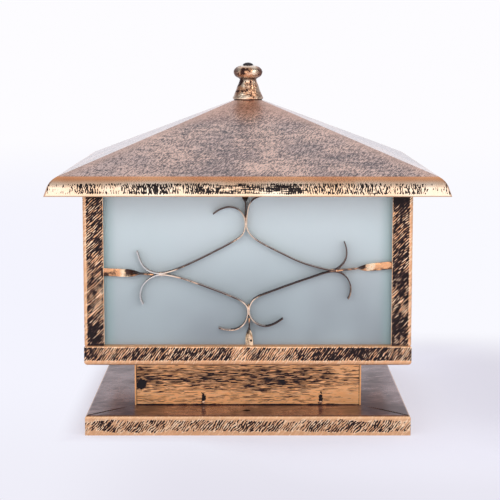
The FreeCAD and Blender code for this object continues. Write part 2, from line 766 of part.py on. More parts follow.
def roof():
    """Pressed pyramid roof with its flared lip, and a hole for the rod in its flat top."""
    pyramid = doc.addObject("Part::Common", "roof_pyramid")
    pyramid.Base = roof_prism("roof_prism_front", 0)
    pyramid.Tool = roof_prism("roof_prism_side", 1)
    doc.recompute()
    faces = pyramid.Shape.Faces
    lowest = min(range(len(faces)), key=lambda number: faces[number].CenterOfMass.z)
    shell = doc.addObject("Part::Thickness", "roof_sheet")
    shell.Faces = (pyramid, [f"Face{lowest + 1}"])
    shell.Join = "Arc"
    bind(shell, Value=-size.roof_gauge)
    hole = cylinder("roof_hole", rod_hole_radius, size.overrun * 2, z=flat_level - size.overrun)
    as_node(cut("roof_shell", shell, hole), "roof_shell")


def roof_gasket():
    """Foam ring on the top rails, just under the roof."""
    inner = post_half - size.gasket_width
    low = top_rail_top - size.overrun
    high = top_rail_top + size.gasket_height
    block = box("gasket_block", (-post_half, -post_half, top_rail_top), (post_half, post_half, high))
    middle = box("gasket_middle", (-inner, -inner, low), (inner, inner, high + size.overrun))
    as_node(cut("roof_gasket", block, middle), "roof_gasket")


def roof_fixing():
    """Crossbar under the top rails, with the rod that the finial screws on."""
    half_width = size.crossbar_width / 2
    low_corner = (-crossbar_half, -half_width, crossbar_level)
    bar = box("crossbar_bar", low_corner, (crossbar_half, half_width, crossbar_top))
    depth = size.crossbar_gauge + size.overrun * 2
    low = crossbar_level - size.overrun
    drills = [cylinder("crossbar_rod_drill", rod_hole_radius, depth, z=low)]
    screws = []
    for word, at in (("left", -crossbar_screw_at), ("right", crossbar_screw_at)):
        drills.append(cylinder(f"crossbar_drill_{word}", crossbar_screw_hole, depth, x=at, z=low))
        tip = crossbar_level - size.crossbar_screw_end
        shank = cylinder(
            f"crossbar_shank_{word}", size.crossbar_screw_radius, top_rail_top - tip, x=at, z=tip
        )
        head = cylinder(
            f"crossbar_head_{word}",
            size.crossbar_screw_head_radius,
            size.crossbar_screw_head_height,
            x=at,
            z=top_rail_top,
        )
        screws.append(fuse(f"crossbar_screw_{word}", shank, head))
    as_node(cut("crossbar", bar, *drills), "crossbar")
    group("crossbar_screws", screws)
    rod_top = finial_level + size.rod_engagement
    as_node(cylinder("roof_rod", size.rod_radius, rod_top - rod_level, z=rod_level), "roof_rod")
    nuts = []
    for word, level in (("lower", crossbar_level - size.nut_height), ("upper", crossbar_top)):
        hexagon = doc.addObject("Part::Prism", f"{word}_nut_block")
        hexagon.Polygon = 6
        bind(hexagon, Circumradius=size.nut_radius, Height=size.nut_height)
        place(hexagon, ZERO, ZERO, level)
        depth = size.nut_height + size.overrun * 2
        thread = cylinder(f"{word}_nut_thread", rod_bore_radius, depth, z=level - size.overrun)
        nuts.append(cut(f"{word}_nut", hexagon, thread))
    group("rod_nuts", nuts)


def finial():
    """Cast finial with a blind bore for the rod, its sealing washer and the dome on top."""
    washer = cylinder("washer_disc", size.washer_radius, size.washer_height, z=flat_level)
    hole = cylinder(
        "washer_hole", rod_hole_radius, size.washer_height + size.overrun * 2, z=flat_level - size.overrun
    )
    as_node(cut("sealing_washer", washer, hole), "sealing_washer")

    ball_level = finial_level + size.ball_centre_height
    flat_share = ONE - (size.cap_radius / size.ball_radius) * (size.cap_radius / size.ball_radius)
    seat = ball_level + size.ball_half_height * flat_share.root()
    foot = cylinder("finial_foot", size.finial_foot_radius, size.finial_edge, z=finial_level)
    taper = cone(
        "finial_cone",
        size.finial_foot_radius,
        size.finial_neck_radius,
        size.finial_cone_height,
        finial_level + size.finial_edge,
    )
    core = cylinder("finial_core", size.finial_neck_radius, size.ball_centre_height, z=finial_level)
    ball = doc.addObject("Part::Ellipsoid", "finial_ball")
    bind(ball, Radius1=size.ball_half_height, Radius2=size.ball_radius, Radius3=size.ball_radius)
    place(ball, ZERO, ZERO, ball_level)
    body = fuse("finial_body", foot, taper, core, ball)
    top = cylinder("finial_top_cut", size.ball_radius, size.overrun, z=seat)
    bore_depth = size.rod_engagement + size.bore_end + size.overrun
    bore = cylinder("finial_bore", rod_bore_radius, bore_depth, z=finial_level - size.overrun)
    stem_hole = cylinder(
        "finial_stem_hole",
        size.cap_stem_radius + size.fit_gap,
        size.cap_stem_length + size.overrun,
        z=seat - size.cap_stem_length,
    )
    as_node(cut("finial", body, top, bore, stem_hole), "finial")

    dome = doc.addObject("Part::Ellipsoid", "cap_dome")
    bind(dome, Radius1=size.cap_height, Radius2=size.cap_radius, Radius3=size.cap_radius)
    dome.Angle1 = 0
    place(dome, ZERO, ZERO, seat)
    stem = cylinder("cap_stem", size.cap_stem_radius, size.cap_stem_length, z=seat - size.cap_stem_length)
    as_node(fuse("finial_cap", dome, stem), "finial_cap")


def holder_bracket():
    """Raised strip that carries the lampholder, with its two screws."""
    body = doc.addObject("PartDesign::Body", "holder_bracket")
    outer = size.bracket_span / 2
    inner = outer - size.gauge
    foot = outer + size.bracket_foot
    roof_under = size.bracket_rise - size.gauge
    right = [
        (inner, roof_under),
        (inner, ZERO),
        (foot, ZERO),
        (foot, size.gauge),
        (outer, size.gauge),
        (outer, size.bracket_rise),
    ]
    left = [(-x, z) for x, z in reversed(right)]
    profile = outline(body, "bracket_profile", "XZ_Plane", right + left)
    pad(body, "bracket_strip", profile, size.bracket_width, both_ways=True)
    places = [(bracket_screw_at, ZERO), (-bracket_screw_at, ZERO)]
    pocket(body, "bracket_feet_holes", circles(body, "feet_drill", "XY_Plane", holder_screw_hole, places))
    wires = circles(body, "bracket_wire_drill", "XY_Plane", size.bracket_wire_hole_radius, [(ZERO, ZERO)])
    pocket(body, "bracket_wire_hole", wires)
    place(body, ZERO, ZERO, shelf_top)
    as_node(body, "holder_bracket")

    screws = []
    head_level = shelf_top + size.gauge
    tip = shelf_level - size.holder_screw_end
    for word, at in (("left", -bracket_screw_at), ("right", bracket_screw_at)):
        shank = cylinder(f"holder_shank_{word}", size.holder_screw_radius, head_level - tip, x=at, z=tip)
        head = cylinder(
            f"holder_head_{word}",
            size.holder_screw_head_radius,
            size.holder_screw_head_height,
            x=at,
            z=head_level,
        )
        screws.append(fuse(f"holder_screw_{word}", shank, head))
    group("holder_screws", screws)


def lampholder():
    """Ceramic lampholder with its threaded shell and centre contact."""
    body = doc.addObject("PartDesign::Body", "holder_body")
    well = size.shell_radius + size.fit_gap
    shoulder = size.holder_base_height + size.holder_shoulder
    points = [
        (ZERO, ZERO),
        (size.holder_base_radius, ZERO),
        (size.holder_base_radius, size.holder_base_height),
        (size.holder_radius, shoulder),
        (size.holder_radius, size.holder_height),
        (well, size.holder_height),
        (well, size.holder_floor),
        (ZERO, size.holder_floor),
    ]
    revolve(body, "holder_turned", outline(body, "holder_profile", "XZ_Plane", points))
    place(body, ZERO, ZERO, holder_level)
    as_node(body, "holder_body")

    well_floor = holder_level + size.holder_floor
    tube = cylinder("shell_tube", size.shell_radius, size.shell_height, z=well_floor)
    inside = cylinder(
        "shell_inside",
        size.shell_radius - size.shell_gauge,
        size.shell_height + size.overrun * 2,
        z=well_floor - size.overrun,
    )
    as_node(cut("holder_shell", tube, inside), "holder_shell")

    tongue = doc.addObject("PartDesign::Body", "holder_contact")
    half = size.contact_length / 2
    knee = half / 2
    low = size.contact_gauge
    high = size.contact_rise
    points = [
        (-half, ZERO),
        (-knee, ZERO),
        (knee, high),
        (half, high),
        (half, high + low),
        (knee, high + low),
        (-knee, low),
        (-half, low),
    ]
    profile = outline(tongue, "contact_profile", "XZ_Plane", points)
    pad(tongue, "contact_strip", profile, size.contact_width, True)
    place(tongue, ZERO, ZERO, well_floor)
    as_node(tongue, "holder_contact")


def globe_solid(name, shrink):
    """Round globe on a cone, smaller all round by a given thickness."""
    radius = size.globe_radius - shrink
    drop = size.globe_centre_height - size.globe_neck_height
    joint = (radius * radius - drop * drop).root()
    sphere = doc.addObject("Part::Sphere", name + "_sphere")
    bind(sphere, Radius=radius)
    place(sphere, ZERO, ZERO, globe_level + size.globe_centre_height)
    throat = size.globe_neck_radius - shrink
    neck_part = cone(name + "_neck", throat, joint, size.globe_neck_height, globe_level)
    return fuse(name, sphere, neck_part)


def lamp():
    """Screw-in lamp: centre contact, cap and hollow globe."""
    tip = cylinder("bulb_contact", size.lamp_contact_radius, size.lamp_contact_height, z=lamp_level)
    as_node(tip, "bulb_contact")
    foot = cone(
        "bulb_cap_foot",
        size.lamp_cap_foot_radius,
        lamp_cap_radius,
        size.lamp_cap_foot_height,
        lamp_cap_level,
    )
    barrel = cylinder(
        "bulb_cap_barrel",
        lamp_cap_radius,
        size.lamp_cap_height - size.lamp_cap_foot_height,
        z=lamp_cap_level + size.lamp_cap_foot_height,
    )
    as_node(fuse("bulb_cap", foot, barrel), "bulb_cap")
    outer = globe_solid("globe_outer", ZERO)
    inner = globe_solid("globe_inner", size.globe_gauge)
    as_node(cut("bulb_globe", outer, inner), "bulb_globe")


def wiring():
    """Terminal block, its two leads to the lampholder, and the earth screw."""
    half = size.terminal_length / 2
    block_top = shelf_top + size.terminal_height
    back = size.terminal_distance + size.terminal_depth
    middle = size.terminal_distance + size.terminal_depth / 2
    block = box("terminal_body", (-half, size.terminal_distance, shelf_top), (half, back, block_top))
    drills = []
    for word, at in (("left", -size.terminal_pitch), ("middle", ZERO), ("right", size.terminal_pitch)):
        drills.append(
            cylinder(
                f"terminal_drill_{word}",
                size.terminal_hole_radius,
                size.terminal_hole_depth + size.overrun,
                x=at,
                y=back - size.terminal_depth / 4,
                z=block_top - size.terminal_hole_depth,
            )
        )
    as_node(cut("terminal_block", block, *drills), "terminal_block")
    near_side = size.lead_spacing / 2 - size.lead_radius
    holder_side = (size.holder_base_radius * size.holder_base_radius - near_side * near_side).root()
    reach = holder_side + size.lamp_gap
    for name, at in (("live_lead", -size.lead_spacing / 2), ("neutral_lead", size.lead_spacing / 2)):
        lead(name, at, middle, block_top, reach - middle)
    away = -size.earth_distance
    tip = shelf_top - size.earth_screw_length
    shank = cylinder("earth_shank", size.earth_screw_radius, size.earth_screw_length, y=away, z=tip)
    head = cylinder("earth_head", size.earth_head_radius, size.earth_head_height, y=away, z=shelf_top)
    as_node(fuse("earth_screw", shank, head), "earth_screw")


def lead(name, across, start_depth, start_level, end):
    """An insulated lead: up from the terminal block, round one bend and on to the lampholder's side."""
    body = doc.addObject("PartDesign::Body", name)
    bend = size.lead_bend_radius
    level = size.lead_rise + bend
    path = new_sketch(body, name + "_path", "YZ_Plane")
    centre = FreeCAD.Vector(-bend.value, size.lead_rise.value, 0)
    circle = Part.Circle(centre, FreeCAD.Vector(0, 0, 1), bend.value)
    riser = Part.LineSegment(FreeCAD.Vector(0, 0, 0), FreeCAD.Vector(0, size.lead_rise.value, 0))
    path.addGeometry(riser, False)
    path.addGeometry(Part.ArcOfCircle(circle, 0, math.pi / 2), False)
    run = Part.LineSegment(
        FreeCAD.Vector(-bend.value, level.value, 0), FreeCAD.Vector(end.value, level.value, 0)
    )
    path.addGeometry(run, False)
    path.addConstraint(Sketcher.Constraint("Coincident", 0, 1, -1, 1))
    path.addConstraint(Sketcher.Constraint("Coincident", 0, 2, 1, 1))
    path.addConstraint(Sketcher.Constraint("Coincident", 1, 2, 2, 1))
    path.addConstraint(Sketcher.Constraint("Vertical", 1, 2, 1, 3))
    fix_point(path, 0, 2, ZERO, size.lead_rise)
    fix_point(path, 1, 3, -bend, size.lead_rise)
    fix_point(path, 2, 2, end, level)
    section = circles(body, name + "_section", "XY_Plane", size.lead_radius, [(ZERO, ZERO)])
    pipe = body.newObject("PartDesign::AdditivePipe", name + "_pipe")
    pipe.Profile = section
    pipe.Spine = (path, ["Edge1", "Edge2", "Edge3"])
    place(body, across, start_depth, start_level)
    as_node(body, name)


def check_and_write():
    """Stops if any object failed, then writes one file for each node."""
    doc.recompute()
    for item in doc.Objects:
        if "Invalid" in item.State or "Error" in item.State:
            raise RuntimeError(f"{item.Name} failed: {item.State}")
    for item in nodes:
        shape = item.Shape
        if shape.isNull() or not shape.isValid() or not shape.Solids:
            raise RuntimeError(f"{item.Label} has no sound shape")
    os.makedirs("parts", exist_ok=True)
    for item in nodes:
        item.Shape.exportStep(f"parts/{item.Label}.step")
    print(f"{len(nodes)} nodes, {sum(len(item.Shape.Solids) for item in nodes)} solids")


foot_frame()
neck()
floor_plate()
cable_grommet()
shelf_plate()
lantern_frame()
glazing()
ornament()
roof()
roof_gasket()
roof_fixing()
finial()
holder_bracket()
lampholder()
lamp()
wiring()
check_and_write()
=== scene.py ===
import math

import bmesh
import bpy
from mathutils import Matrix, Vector, noise


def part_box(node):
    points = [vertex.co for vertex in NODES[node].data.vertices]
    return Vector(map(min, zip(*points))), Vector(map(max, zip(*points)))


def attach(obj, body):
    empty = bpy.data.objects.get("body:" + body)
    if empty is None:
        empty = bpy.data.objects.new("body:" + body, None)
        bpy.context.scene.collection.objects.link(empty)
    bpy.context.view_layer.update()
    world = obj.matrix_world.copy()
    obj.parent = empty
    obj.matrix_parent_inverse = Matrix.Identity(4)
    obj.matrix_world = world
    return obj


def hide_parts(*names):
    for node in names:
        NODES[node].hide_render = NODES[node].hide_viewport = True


# A pillar light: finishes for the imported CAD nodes, small welds, the cast finial and a pale studio.
# Lengths are in metres and angles in degrees. The front looks along -Y.

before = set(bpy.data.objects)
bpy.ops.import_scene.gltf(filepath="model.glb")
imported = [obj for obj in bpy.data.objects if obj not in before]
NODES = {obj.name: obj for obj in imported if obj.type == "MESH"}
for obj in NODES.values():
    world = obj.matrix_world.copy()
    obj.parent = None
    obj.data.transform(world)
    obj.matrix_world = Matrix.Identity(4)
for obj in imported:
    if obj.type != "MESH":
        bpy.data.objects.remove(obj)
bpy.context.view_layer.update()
SIDES = ("front", "right", "rear", "left")
MM = 0.001

# Levels and corners of the CAD model, which the finishes follow

FOOT_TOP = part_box("base_rail_front")[1].z
FOOT_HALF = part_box("base_rail_right")[1].x
NECK_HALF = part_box("neck_front")[1].x
NECK_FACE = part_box("neck_front")[0].y
SILL_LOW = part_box("lower_rail_front")[0].z
SILL_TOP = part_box("lower_rail_front")[1].z
POST_LOW, POST_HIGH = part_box("post_front_right")
PANE_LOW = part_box("glass_front")[0].z
PANE_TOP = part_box("glass_front")[1].z
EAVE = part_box("roof_shell")[0].z

# Where the two weld spots at the neck's foot stand, across each side
TACKS = (-0.0351, 0.0574)


# Colours and nodes


def rgb(red, green, blue):
    """A colour as it shows on screen, 0 to 255, in linear light by the sRGB curve."""
    levels = [channel / 255 for channel in (red, green, blue)]
    return tuple(((v + 0.055) / 1.055) ** 2.4 if v > 0.04045 else v / 12.92 for v in levels)


def darker(colour, share):
    """A colour with only a share of its light."""
    return tuple(channel * share for channel in colour)


COPPER = rgb(236, 176, 128)
# Paler copper of the painted highlights in the brushed finish
COPPER_HIGHLIGHT = rgb(255, 222, 184)
UMBER = rgb(30, 19, 20)
BROWN = rgb(104, 72, 62)


class Graph:
    """The nodes of a material or a world, made with short calls."""

    def __init__(self, owner):
        owner.use_nodes = True
        self.owner = owner
        self.tree = owner.node_tree
        self.tree.nodes.clear()
        coordinates = self.tree.nodes.new("ShaderNodeTexCoord")
        self.place = coordinates.outputs["Object"]
        self.facing = coordinates.outputs["Normal"]
        self.direction = coordinates.outputs["Generated"]

    def node(self, kind, inputs, output=0, **settings):
        """A new node's output. Each input is a number, a colour or another node's output."""
        node = self.tree.nodes.new(kind)
        for name, value in settings.items():
            setattr(node, name, value)
        for key, value in dict(inputs).items():
            socket = node.inputs[key]
            if isinstance(value, bpy.types.NodeSocket):
                self.tree.links.new(value, socket)
            elif socket.type == "RGBA":
                socket.default_value = (*value, 1.0)
            else:
                socket.default_value = value
        return node.outputs[output]

    def math(self, operation, *values):
        return self.node("ShaderNodeMath", enumerate(values), operation=operation)

    def add(self, a, b):
        return self.math("ADD", a, b)

    def sub(self, a, b):
        return self.math("SUBTRACT", a, b)

    def mul(self, a, b):
        return self.math("MULTIPLY", a, b)

    def size(self, a):
        """The number without its sign."""
        return self.math("ABSOLUTE", a)

    def most(self, a, b):
        return self.math("MAXIMUM", a, b)

    def least(self, a, b):
        return self.math("MINIMUM", a, b)

    def above(self, a, b):
        return self.math("GREATER_THAN", a, b)

    def below(self, a, b):
        return self.math("LESS_THAN", a, b)

    def length(self, a, b):
        """The distance from the origin to a, b."""
        return self.math("SQRT", self.add(self.mul(a, a), self.mul(b, b)))

    def weigh(self, *pairs):
        """The sum of values, each given in a pair with its weight."""
        total = self.mul(*pairs[0])
        for pair in pairs[1:]:
            total = self.add(total, self.mul(*pair))
        return total

    def swing(self, texture, width):
        """A texture of 0 to 1 turned into a swing of the given width about 0."""
        return self.mul(self.sub(texture, 0.5), width)

    def parts(self, vector):
        node = self.tree.nodes.new("ShaderNodeSeparateXYZ")
        self.tree.links.new(vector, node.inputs[0])
        return node.outputs[0], node.outputs[1], node.outputs[2]

    def join(self, x, y, z):
        return self.node("ShaderNodeCombineXYZ", {0: x, 1: y, 2: z})

    def choose(self, share, low, high):
        """low where share is 0, high where it is 1, for numbers."""
        return self.node("ShaderNodeMix", {0: share, 2: low, 3: high}, data_type="FLOAT")

    def blend(self, share, low, high):
        """low where share is 0, high where it is 1, for colours."""
        return self.node("ShaderNodeMix", {0: share, 6: low, 7: high}, output=2, data_type="RGBA")

    def step(self, value, start, end, low=0.0, high=1.0):
        """low below start, high above end, smooth between them."""
        ends = {"From Min": start, "From Max": end, "To Min": low, "To Max": high}
        return self.node("ShaderNodeMapRange", {"Value": value, **ends}, interpolation_type="SMOOTHSTEP")

    def fall(self, value, start, end, high=1.0):
        """high below start, 0 above end, smooth between them."""
        return self.step(value, start, end, high, 0.0)

    def band(self, value, low, high, soft):
        """1 between two values, 0 outside, with soft ends."""
        return self.mul(self.step(value, low - soft, low + soft), self.fall(value, high - soft, high + soft))

    def curve(self, value, low, high, points):
        """A curve through levels given at shares of the way from low to high."""
        share = self.node("ShaderNodeMapRange", {"Value": value, "From Min": low, "From Max": high})
        ramp = self.tree.nodes.new("ShaderNodeValToRGB")
        ramp.color_ramp.interpolation = "EASE"
        elements = ramp.color_ramp.elements
        while len(elements) < len(points):
            elements.new(0.5)
        for element, (at, level) in zip(elements, points):
            element.position = at
            element.color = (level, level, level, 1)
        self.tree.links.new(share, ramp.inputs[0])
        return ramp.outputs[0]

    def noise(self, vector, scale, detail=2.0, roughness=0.5, distortion=0.0):
        inputs = {"Vector": vector, "Scale": scale, "Detail": detail, "Roughness": roughness}
        return self.node("ShaderNodeTexNoise", {**inputs, "Distortion": distortion})

    def bump(self, height, distance, strength):
        return self.node("ShaderNodeBump", {"Height": height, "Distance": distance, "Strength": strength})

    def diffuse(self, colour):
        return self.node("ShaderNodeBsdfDiffuse", {"Color": colour})

    def emission(self, colour, strength=1.0):
        return self.node("ShaderNodeEmission", {"Color": colour, "Strength": strength})

    def background(self, colour, strength=1.0):
        return self.node("ShaderNodeBackground", {"Color": colour, "Strength": strength})

    def mixed(self, share, low, high):
        """Two shaders mixed: low where share is 0, high where it is 1."""
        return self.node("ShaderNodeMixShader", {0: share, 1: low, 2: high})

    def rays(self):
        """Outputs that are 1 for rays of one kind."""
        return self.tree.nodes.new("ShaderNodeLightPath").outputs

    def show(self, shader, kind="ShaderNodeOutputMaterial"):
        """Links a shader to the output, and gives back the material or world."""
        output = self.tree.nodes.new(kind)
        self.tree.links.new(shader, output.inputs["Surface"])
        return self.owner

    def surface(self, **inputs):
        """Shows the surface shader, with its constants set on it."""
        named = {name.replace("_", " "): value for name, value in inputs.items()}
        return self.show(self.node("ShaderNodeBsdfPrincipled", named))


def material_graph(name):
    return Graph(bpy.data.materials.new(name))


# Brushed and hatched paint


def face_plane(g, upright_only=False):
    """Coordinates in the plane of each face: across as seen from outside, up, and away from the middle."""
    lies_flat = 0.75
    x, y, z = g.parts(g.place)
    nx, ny, nz = g.parts(g.facing)
    at_side = g.above(g.size(nx), g.size(ny))
    across = g.choose(at_side, g.mul(x, g.mul(g.math("SIGN", ny), -1.0)), g.mul(y, g.math("SIGN", nx)))
    away = g.choose(at_side, y, x)
    if upright_only:
        return across, z, away
    top = g.above(g.size(nz), lies_flat)
    return g.choose(top, across, x), g.choose(top, z, y), g.choose(top, away, z)


def over_brush(g, plane, angle):
    """The distance across the direction of the brush."""
    across, up, _ = plane
    turn = math.radians(angle)
    return g.sub(g.mul(up, math.cos(turn)), g.mul(across, math.sin(turn)))


def strokes(g, plane, angle, width, length, seed, detail=2.0, roughness=0.5):
    """Noise drawn out along a direction of the face, as a brush leaves it."""
    shift_between_sides = 300.0
    across, up, away = plane
    turn = math.radians(angle)
    along = g.add(g.mul(across, math.cos(turn)), g.mul(up, math.sin(turn)))
    over = over_brush(g, plane, angle)
    depth = g.add(g.mul(away, shift_between_sides), seed)
    vector = g.join(g.mul(along, 1 / length), g.mul(over, 1 / width), depth)
    return g.noise(vector, 1.0, detail, roughness)


def hatch(g, plane, angle, pitch, length, seed, fan, sway, comb_share):
    """Brush strokes side by side at about one pitch, crossed by a few others. High where dark paint stays."""
    drift_seed, crossing_seed = seed + 3.1, seed + 7.3
    over = over_brush(g, plane, angle)
    drift = strokes(g, plane, angle, width=5 * pitch, length=1.4 * length, seed=drift_seed, detail=1.0)
    comb = g.math("SINE", g.add(g.mul(over, math.tau / pitch), g.mul(drift, sway)))
    main = strokes(g, plane, angle, width=0.75 * pitch, length=length, seed=seed, roughness=0.55)
    crossing = strokes(
        g, plane, angle + fan, width=0.8 * pitch, length=0.7 * length, seed=crossing_seed, detail=1.0
    )
    return g.add(g.weigh((main, 0.62), (crossing, 0.38)), g.mul(comb, comb_share))


def antique(
    name, shape, seed, angle, pitch, length, cover, spread, patch, fan, pale, sway=16.0, comb_share=0.07,
    patch_size=0.016, copper=COPPER, mid=BROWN, dark=UMBER, metal=0.7, coat_roughness=0.16, flange=None,
):
    """Copper finish with dark brush strokes.

    shape says where more (above 0) or less paint stays, and cover says how much stays on the whole.
    angle, pitch and length are the strokes' direction, spacing and length. fan is the angle to the crossing
    strokes, sway bends them all, and comb_share makes them regular. spread is how soft their edges are.
    patch and patch_size are the weight and the size of cloudy differences.
    copper shows between the strokes, with pale streaks of strength pale, which are painted highlights. mid
    and dark are thin and thick paint, and metal is how metallic the bare copper is.
    flange, where it is given, makes the look of the faces that lie flat.
    """
    bare_roughness, paint_roughness, uneven_gloss = 0.34, 0.48, 0.15
    bare_coat, paint_coat = 0.35, 0.04
    paint_metal = 0.3
    relief = 0.00012
    half, level_per_cover = 0.5, 0.3
    tarnish = 0.74
    streak_seed = seed + 31
    g = material_graph(name)
    plane = face_plane(g)
    across, up, away = plane
    fine = hatch(g, plane, angle, pitch, length, seed, fan, sway, comb_share)
    cloud = g.noise(g.join(across, up, g.add(g.mul(away, 3.0), seed)), 1 / patch_size)
    level = g.add(g.add(fine, g.swing(cloud, patch)), shape(g, plane))
    edge = half + (half - cover) * level_per_cover
    paint = g.step(level, edge - spread, edge + spread)
    thick = g.step(level, edge + 0.9 * spread, edge + 3.4 * spread)
    tone = g.noise(g.join(across, up, g.add(away, seed)), scale=60.0, detail=3.0, roughness=0.6)
    # Pale streaks beside the paint are painted highlights on the bare copper
    highlight_streaks = g.step(strokes(g, plane, angle, width=0.6 * pitch, length=length, seed=streak_seed), 0.46, 0.6)
    beside_paint = g.step(level, edge - 0.32, edge - 0.14, low=0.25)
    tarnished = g.step(tone, 0.35, 0.7, high=0.4)
    ground = g.blend(tarnished, copper, darker(copper, tarnish))
    ground = g.blend(g.mul(g.mul(highlight_streaks, beside_paint), pale), ground, COPPER_HIGHLIGHT)
    colour = g.blend(paint, ground, g.blend(thick, mid, dark))
    rough = g.add(g.choose(paint, bare_roughness, paint_roughness), g.swing(fine, uneven_gloss))
    metallic = g.choose(paint, metal, paint_metal)
    coat = g.choose(paint, bare_coat, paint_coat)
    if flange is not None:
        flat = g.step(g.size(g.parts(g.facing)[2]), 0.75, 0.95)
        flat_colour, flat_rough, flat_metallic, flat_coat = flange(g, plane)
        colour = g.blend(flat, colour, flat_colour)
        rough = g.choose(flat, rough, flat_rough)
        metallic = g.choose(flat, metallic, flat_metallic)
        coat = g.choose(flat, coat, flat_coat)
    return g.surface(
        Base_Color=colour,
        Metallic=metallic,
        Roughness=rough,
        Specular_IOR_Level=0.2,
        Normal=g.bump(g.sub(g.mul(fine, 0.6), paint), distance=relief, strength=0.45),
        Coat_Weight=coat,
        Coat_Roughness=coat_roughness,
    )


def near(g, across, up, at, size, rag=0.9):
    """1 at a place of the face, 0 further off than size, with an edge made ragged by rag."""
    aside = g.mul(g.sub(across, at[0]), 1 / size[0])
    above = g.mul(g.sub(up, at[1]), 1 / size[1])
    uneven = g.swing(g.noise(g.place, scale=420.0, detail=3.0, roughness=0.6), rag)
    return g.fall(g.add(g.length(aside, above), uneven), 0.75, 1.05)


def worn_off(g, painted, curve, base, gain, weight):
    """0 where paint stays, down to -weight where it is worn off. The curve counts in the painted place."""
    kept = g.mul(painted, g.add(base, g.mul(curve, gain)))
    return g.mul(g.sub(kept, 1.0), weight)


def foot_shape(g, plane):
    """The foot's skirt: bare along its lower and upper edge, and painted by a curve along its length."""
    across, up, _ = plane
    curve_half = 0.125
    bare_low, bare_high, soft = 0.0026, 0.0034, 0.0010
    flange_level = -0.3
    uneven = g.swing(g.noise(g.place, scale=90.0), 0.006)
    skirt = g.band(g.add(up, uneven), bare_low, FOOT_TOP - bare_high, soft)
    upright = g.below(g.size(g.parts(g.facing)[2]), 0.6)
    curve = g.curve(across, -curve_half, curve_half, (
        (0.0, 0.3), (0.05, 0.62), (0.2, 0.58), (0.42, 0.4), (0.47, 0.3), (0.5, 0.6), (0.66, 0.5), (0.8, 0.55),
        (0.84, 0.72), (0.93, 0.75), (0.99, 0.2),
    ))
    return g.choose(upright, flange_level, worn_off(g, skirt, curve, base=0.76, gain=0.42, weight=0.45))


def foot_flange(g, plane):
    """The foot's upper face: dark glossy lacquer with cloudy wear, a chip, and a crack at each mitre."""
    brown, deep, hollow = rgb(122, 70, 64), rgb(74, 40, 38), rgb(14, 9, 10)
    chip_at, chip_size = (-0.0010, -0.1069), (0.0030, 0.0030)
    x, y, _ = g.parts(g.place)
    out_x, out_y = g.size(x), g.size(y)
    clouds = g.noise(g.place, scale=30.0, detail=4.0, roughness=0.65)
    scuffs = strokes(g, plane, angle=20, width=0.0016, length=0.014, seed=61.0, detail=3.0, roughness=0.6)
    corners = g.step(g.least(out_x, out_y), 0.03, 0.11, high=0.14)
    stain = g.step(g.add(g.weigh((clouds, 0.62), (scuffs, 0.38)), corners), 0.42, 0.68)
    mitre = g.size(g.sub(out_x, out_y))
    ragged = g.add(mitre, g.swing(g.noise(g.place, scale=300.0), 0.0010))
    crack = g.mul(g.fall(ragged, 0.0009, 0.0020), g.step(out_x, 0.092, 0.108))
    broken = g.most(crack, near(g, x, y, chip_at, chip_size))
    colour = g.blend(broken, g.blend(stain, brown, deep), hollow)
    rough = g.choose(broken, g.choose(stain, 0.24, 0.38), 1.0)
    metallic = g.choose(broken, g.choose(stain, 0.45, 0.2), 0.0)
    coat = g.choose(broken, g.choose(stain, 0.22, 0.12), 0.0)
    return colour, rough, metallic, coat


def sill_shape(g, plane):
    """The sill: bare along its folds, with a clear place left of the middle and more paint at the right."""
    across, up, _ = plane
    curve_half = 0.125
    bare_low, bare_high, soft = 0.0036, 0.0013, 0.0008
    face = g.band(up, SILL_LOW + bare_low, SILL_TOP - bare_high, soft)
    curve = g.curve(across, -curve_half, curve_half, (
        (0.0, 0.5), (0.035, 0.6), (0.06, 0.4), (0.12, 0.5), (0.3, 0.62), (0.44, 0.66), (0.465, 0.05),
        (0.485, 0.08), (0.5, 0.5), (0.62, 0.36), (0.7, 0.85), (0.86, 0.95), (0.97, 0.7),
    ))
    return worn_off(g, face, curve, base=0.72, gain=0.44, weight=0.42)


def post_shape(g, plane):
    """The posts: bare along both edges, with more paint at the foot and less at the left, and dark painted
    shade under the roof.
    """
    across, up, _ = plane
    out = g.size(across)
    outer_edge = g.step(out, POST_HIGH.x - 0.0032, POST_HIGH.x - 0.0020)
    inner_edge = g.fall(out, POST_LOW.x + 0.0001, POST_LOW.x + 0.0006)
    # Painted shade at the posts' tops under the eave
    shade_under_roof = g.step(up, POST_HIGH.z - 0.012, POST_HIGH.z - 0.003, high=0.13)
    at_foot = g.fall(up, POST_LOW.z, POST_LOW.z + 0.03, high=0.05)
    at_left = g.step(across, -0.05, 0.05, low=-0.025, high=0.0)
    bare = g.most(g.mul(outer_edge, 0.28), g.mul(inner_edge, 0.3))
    return g.sub(g.add(shade_under_roof, g.add(at_foot, at_left)), bare)


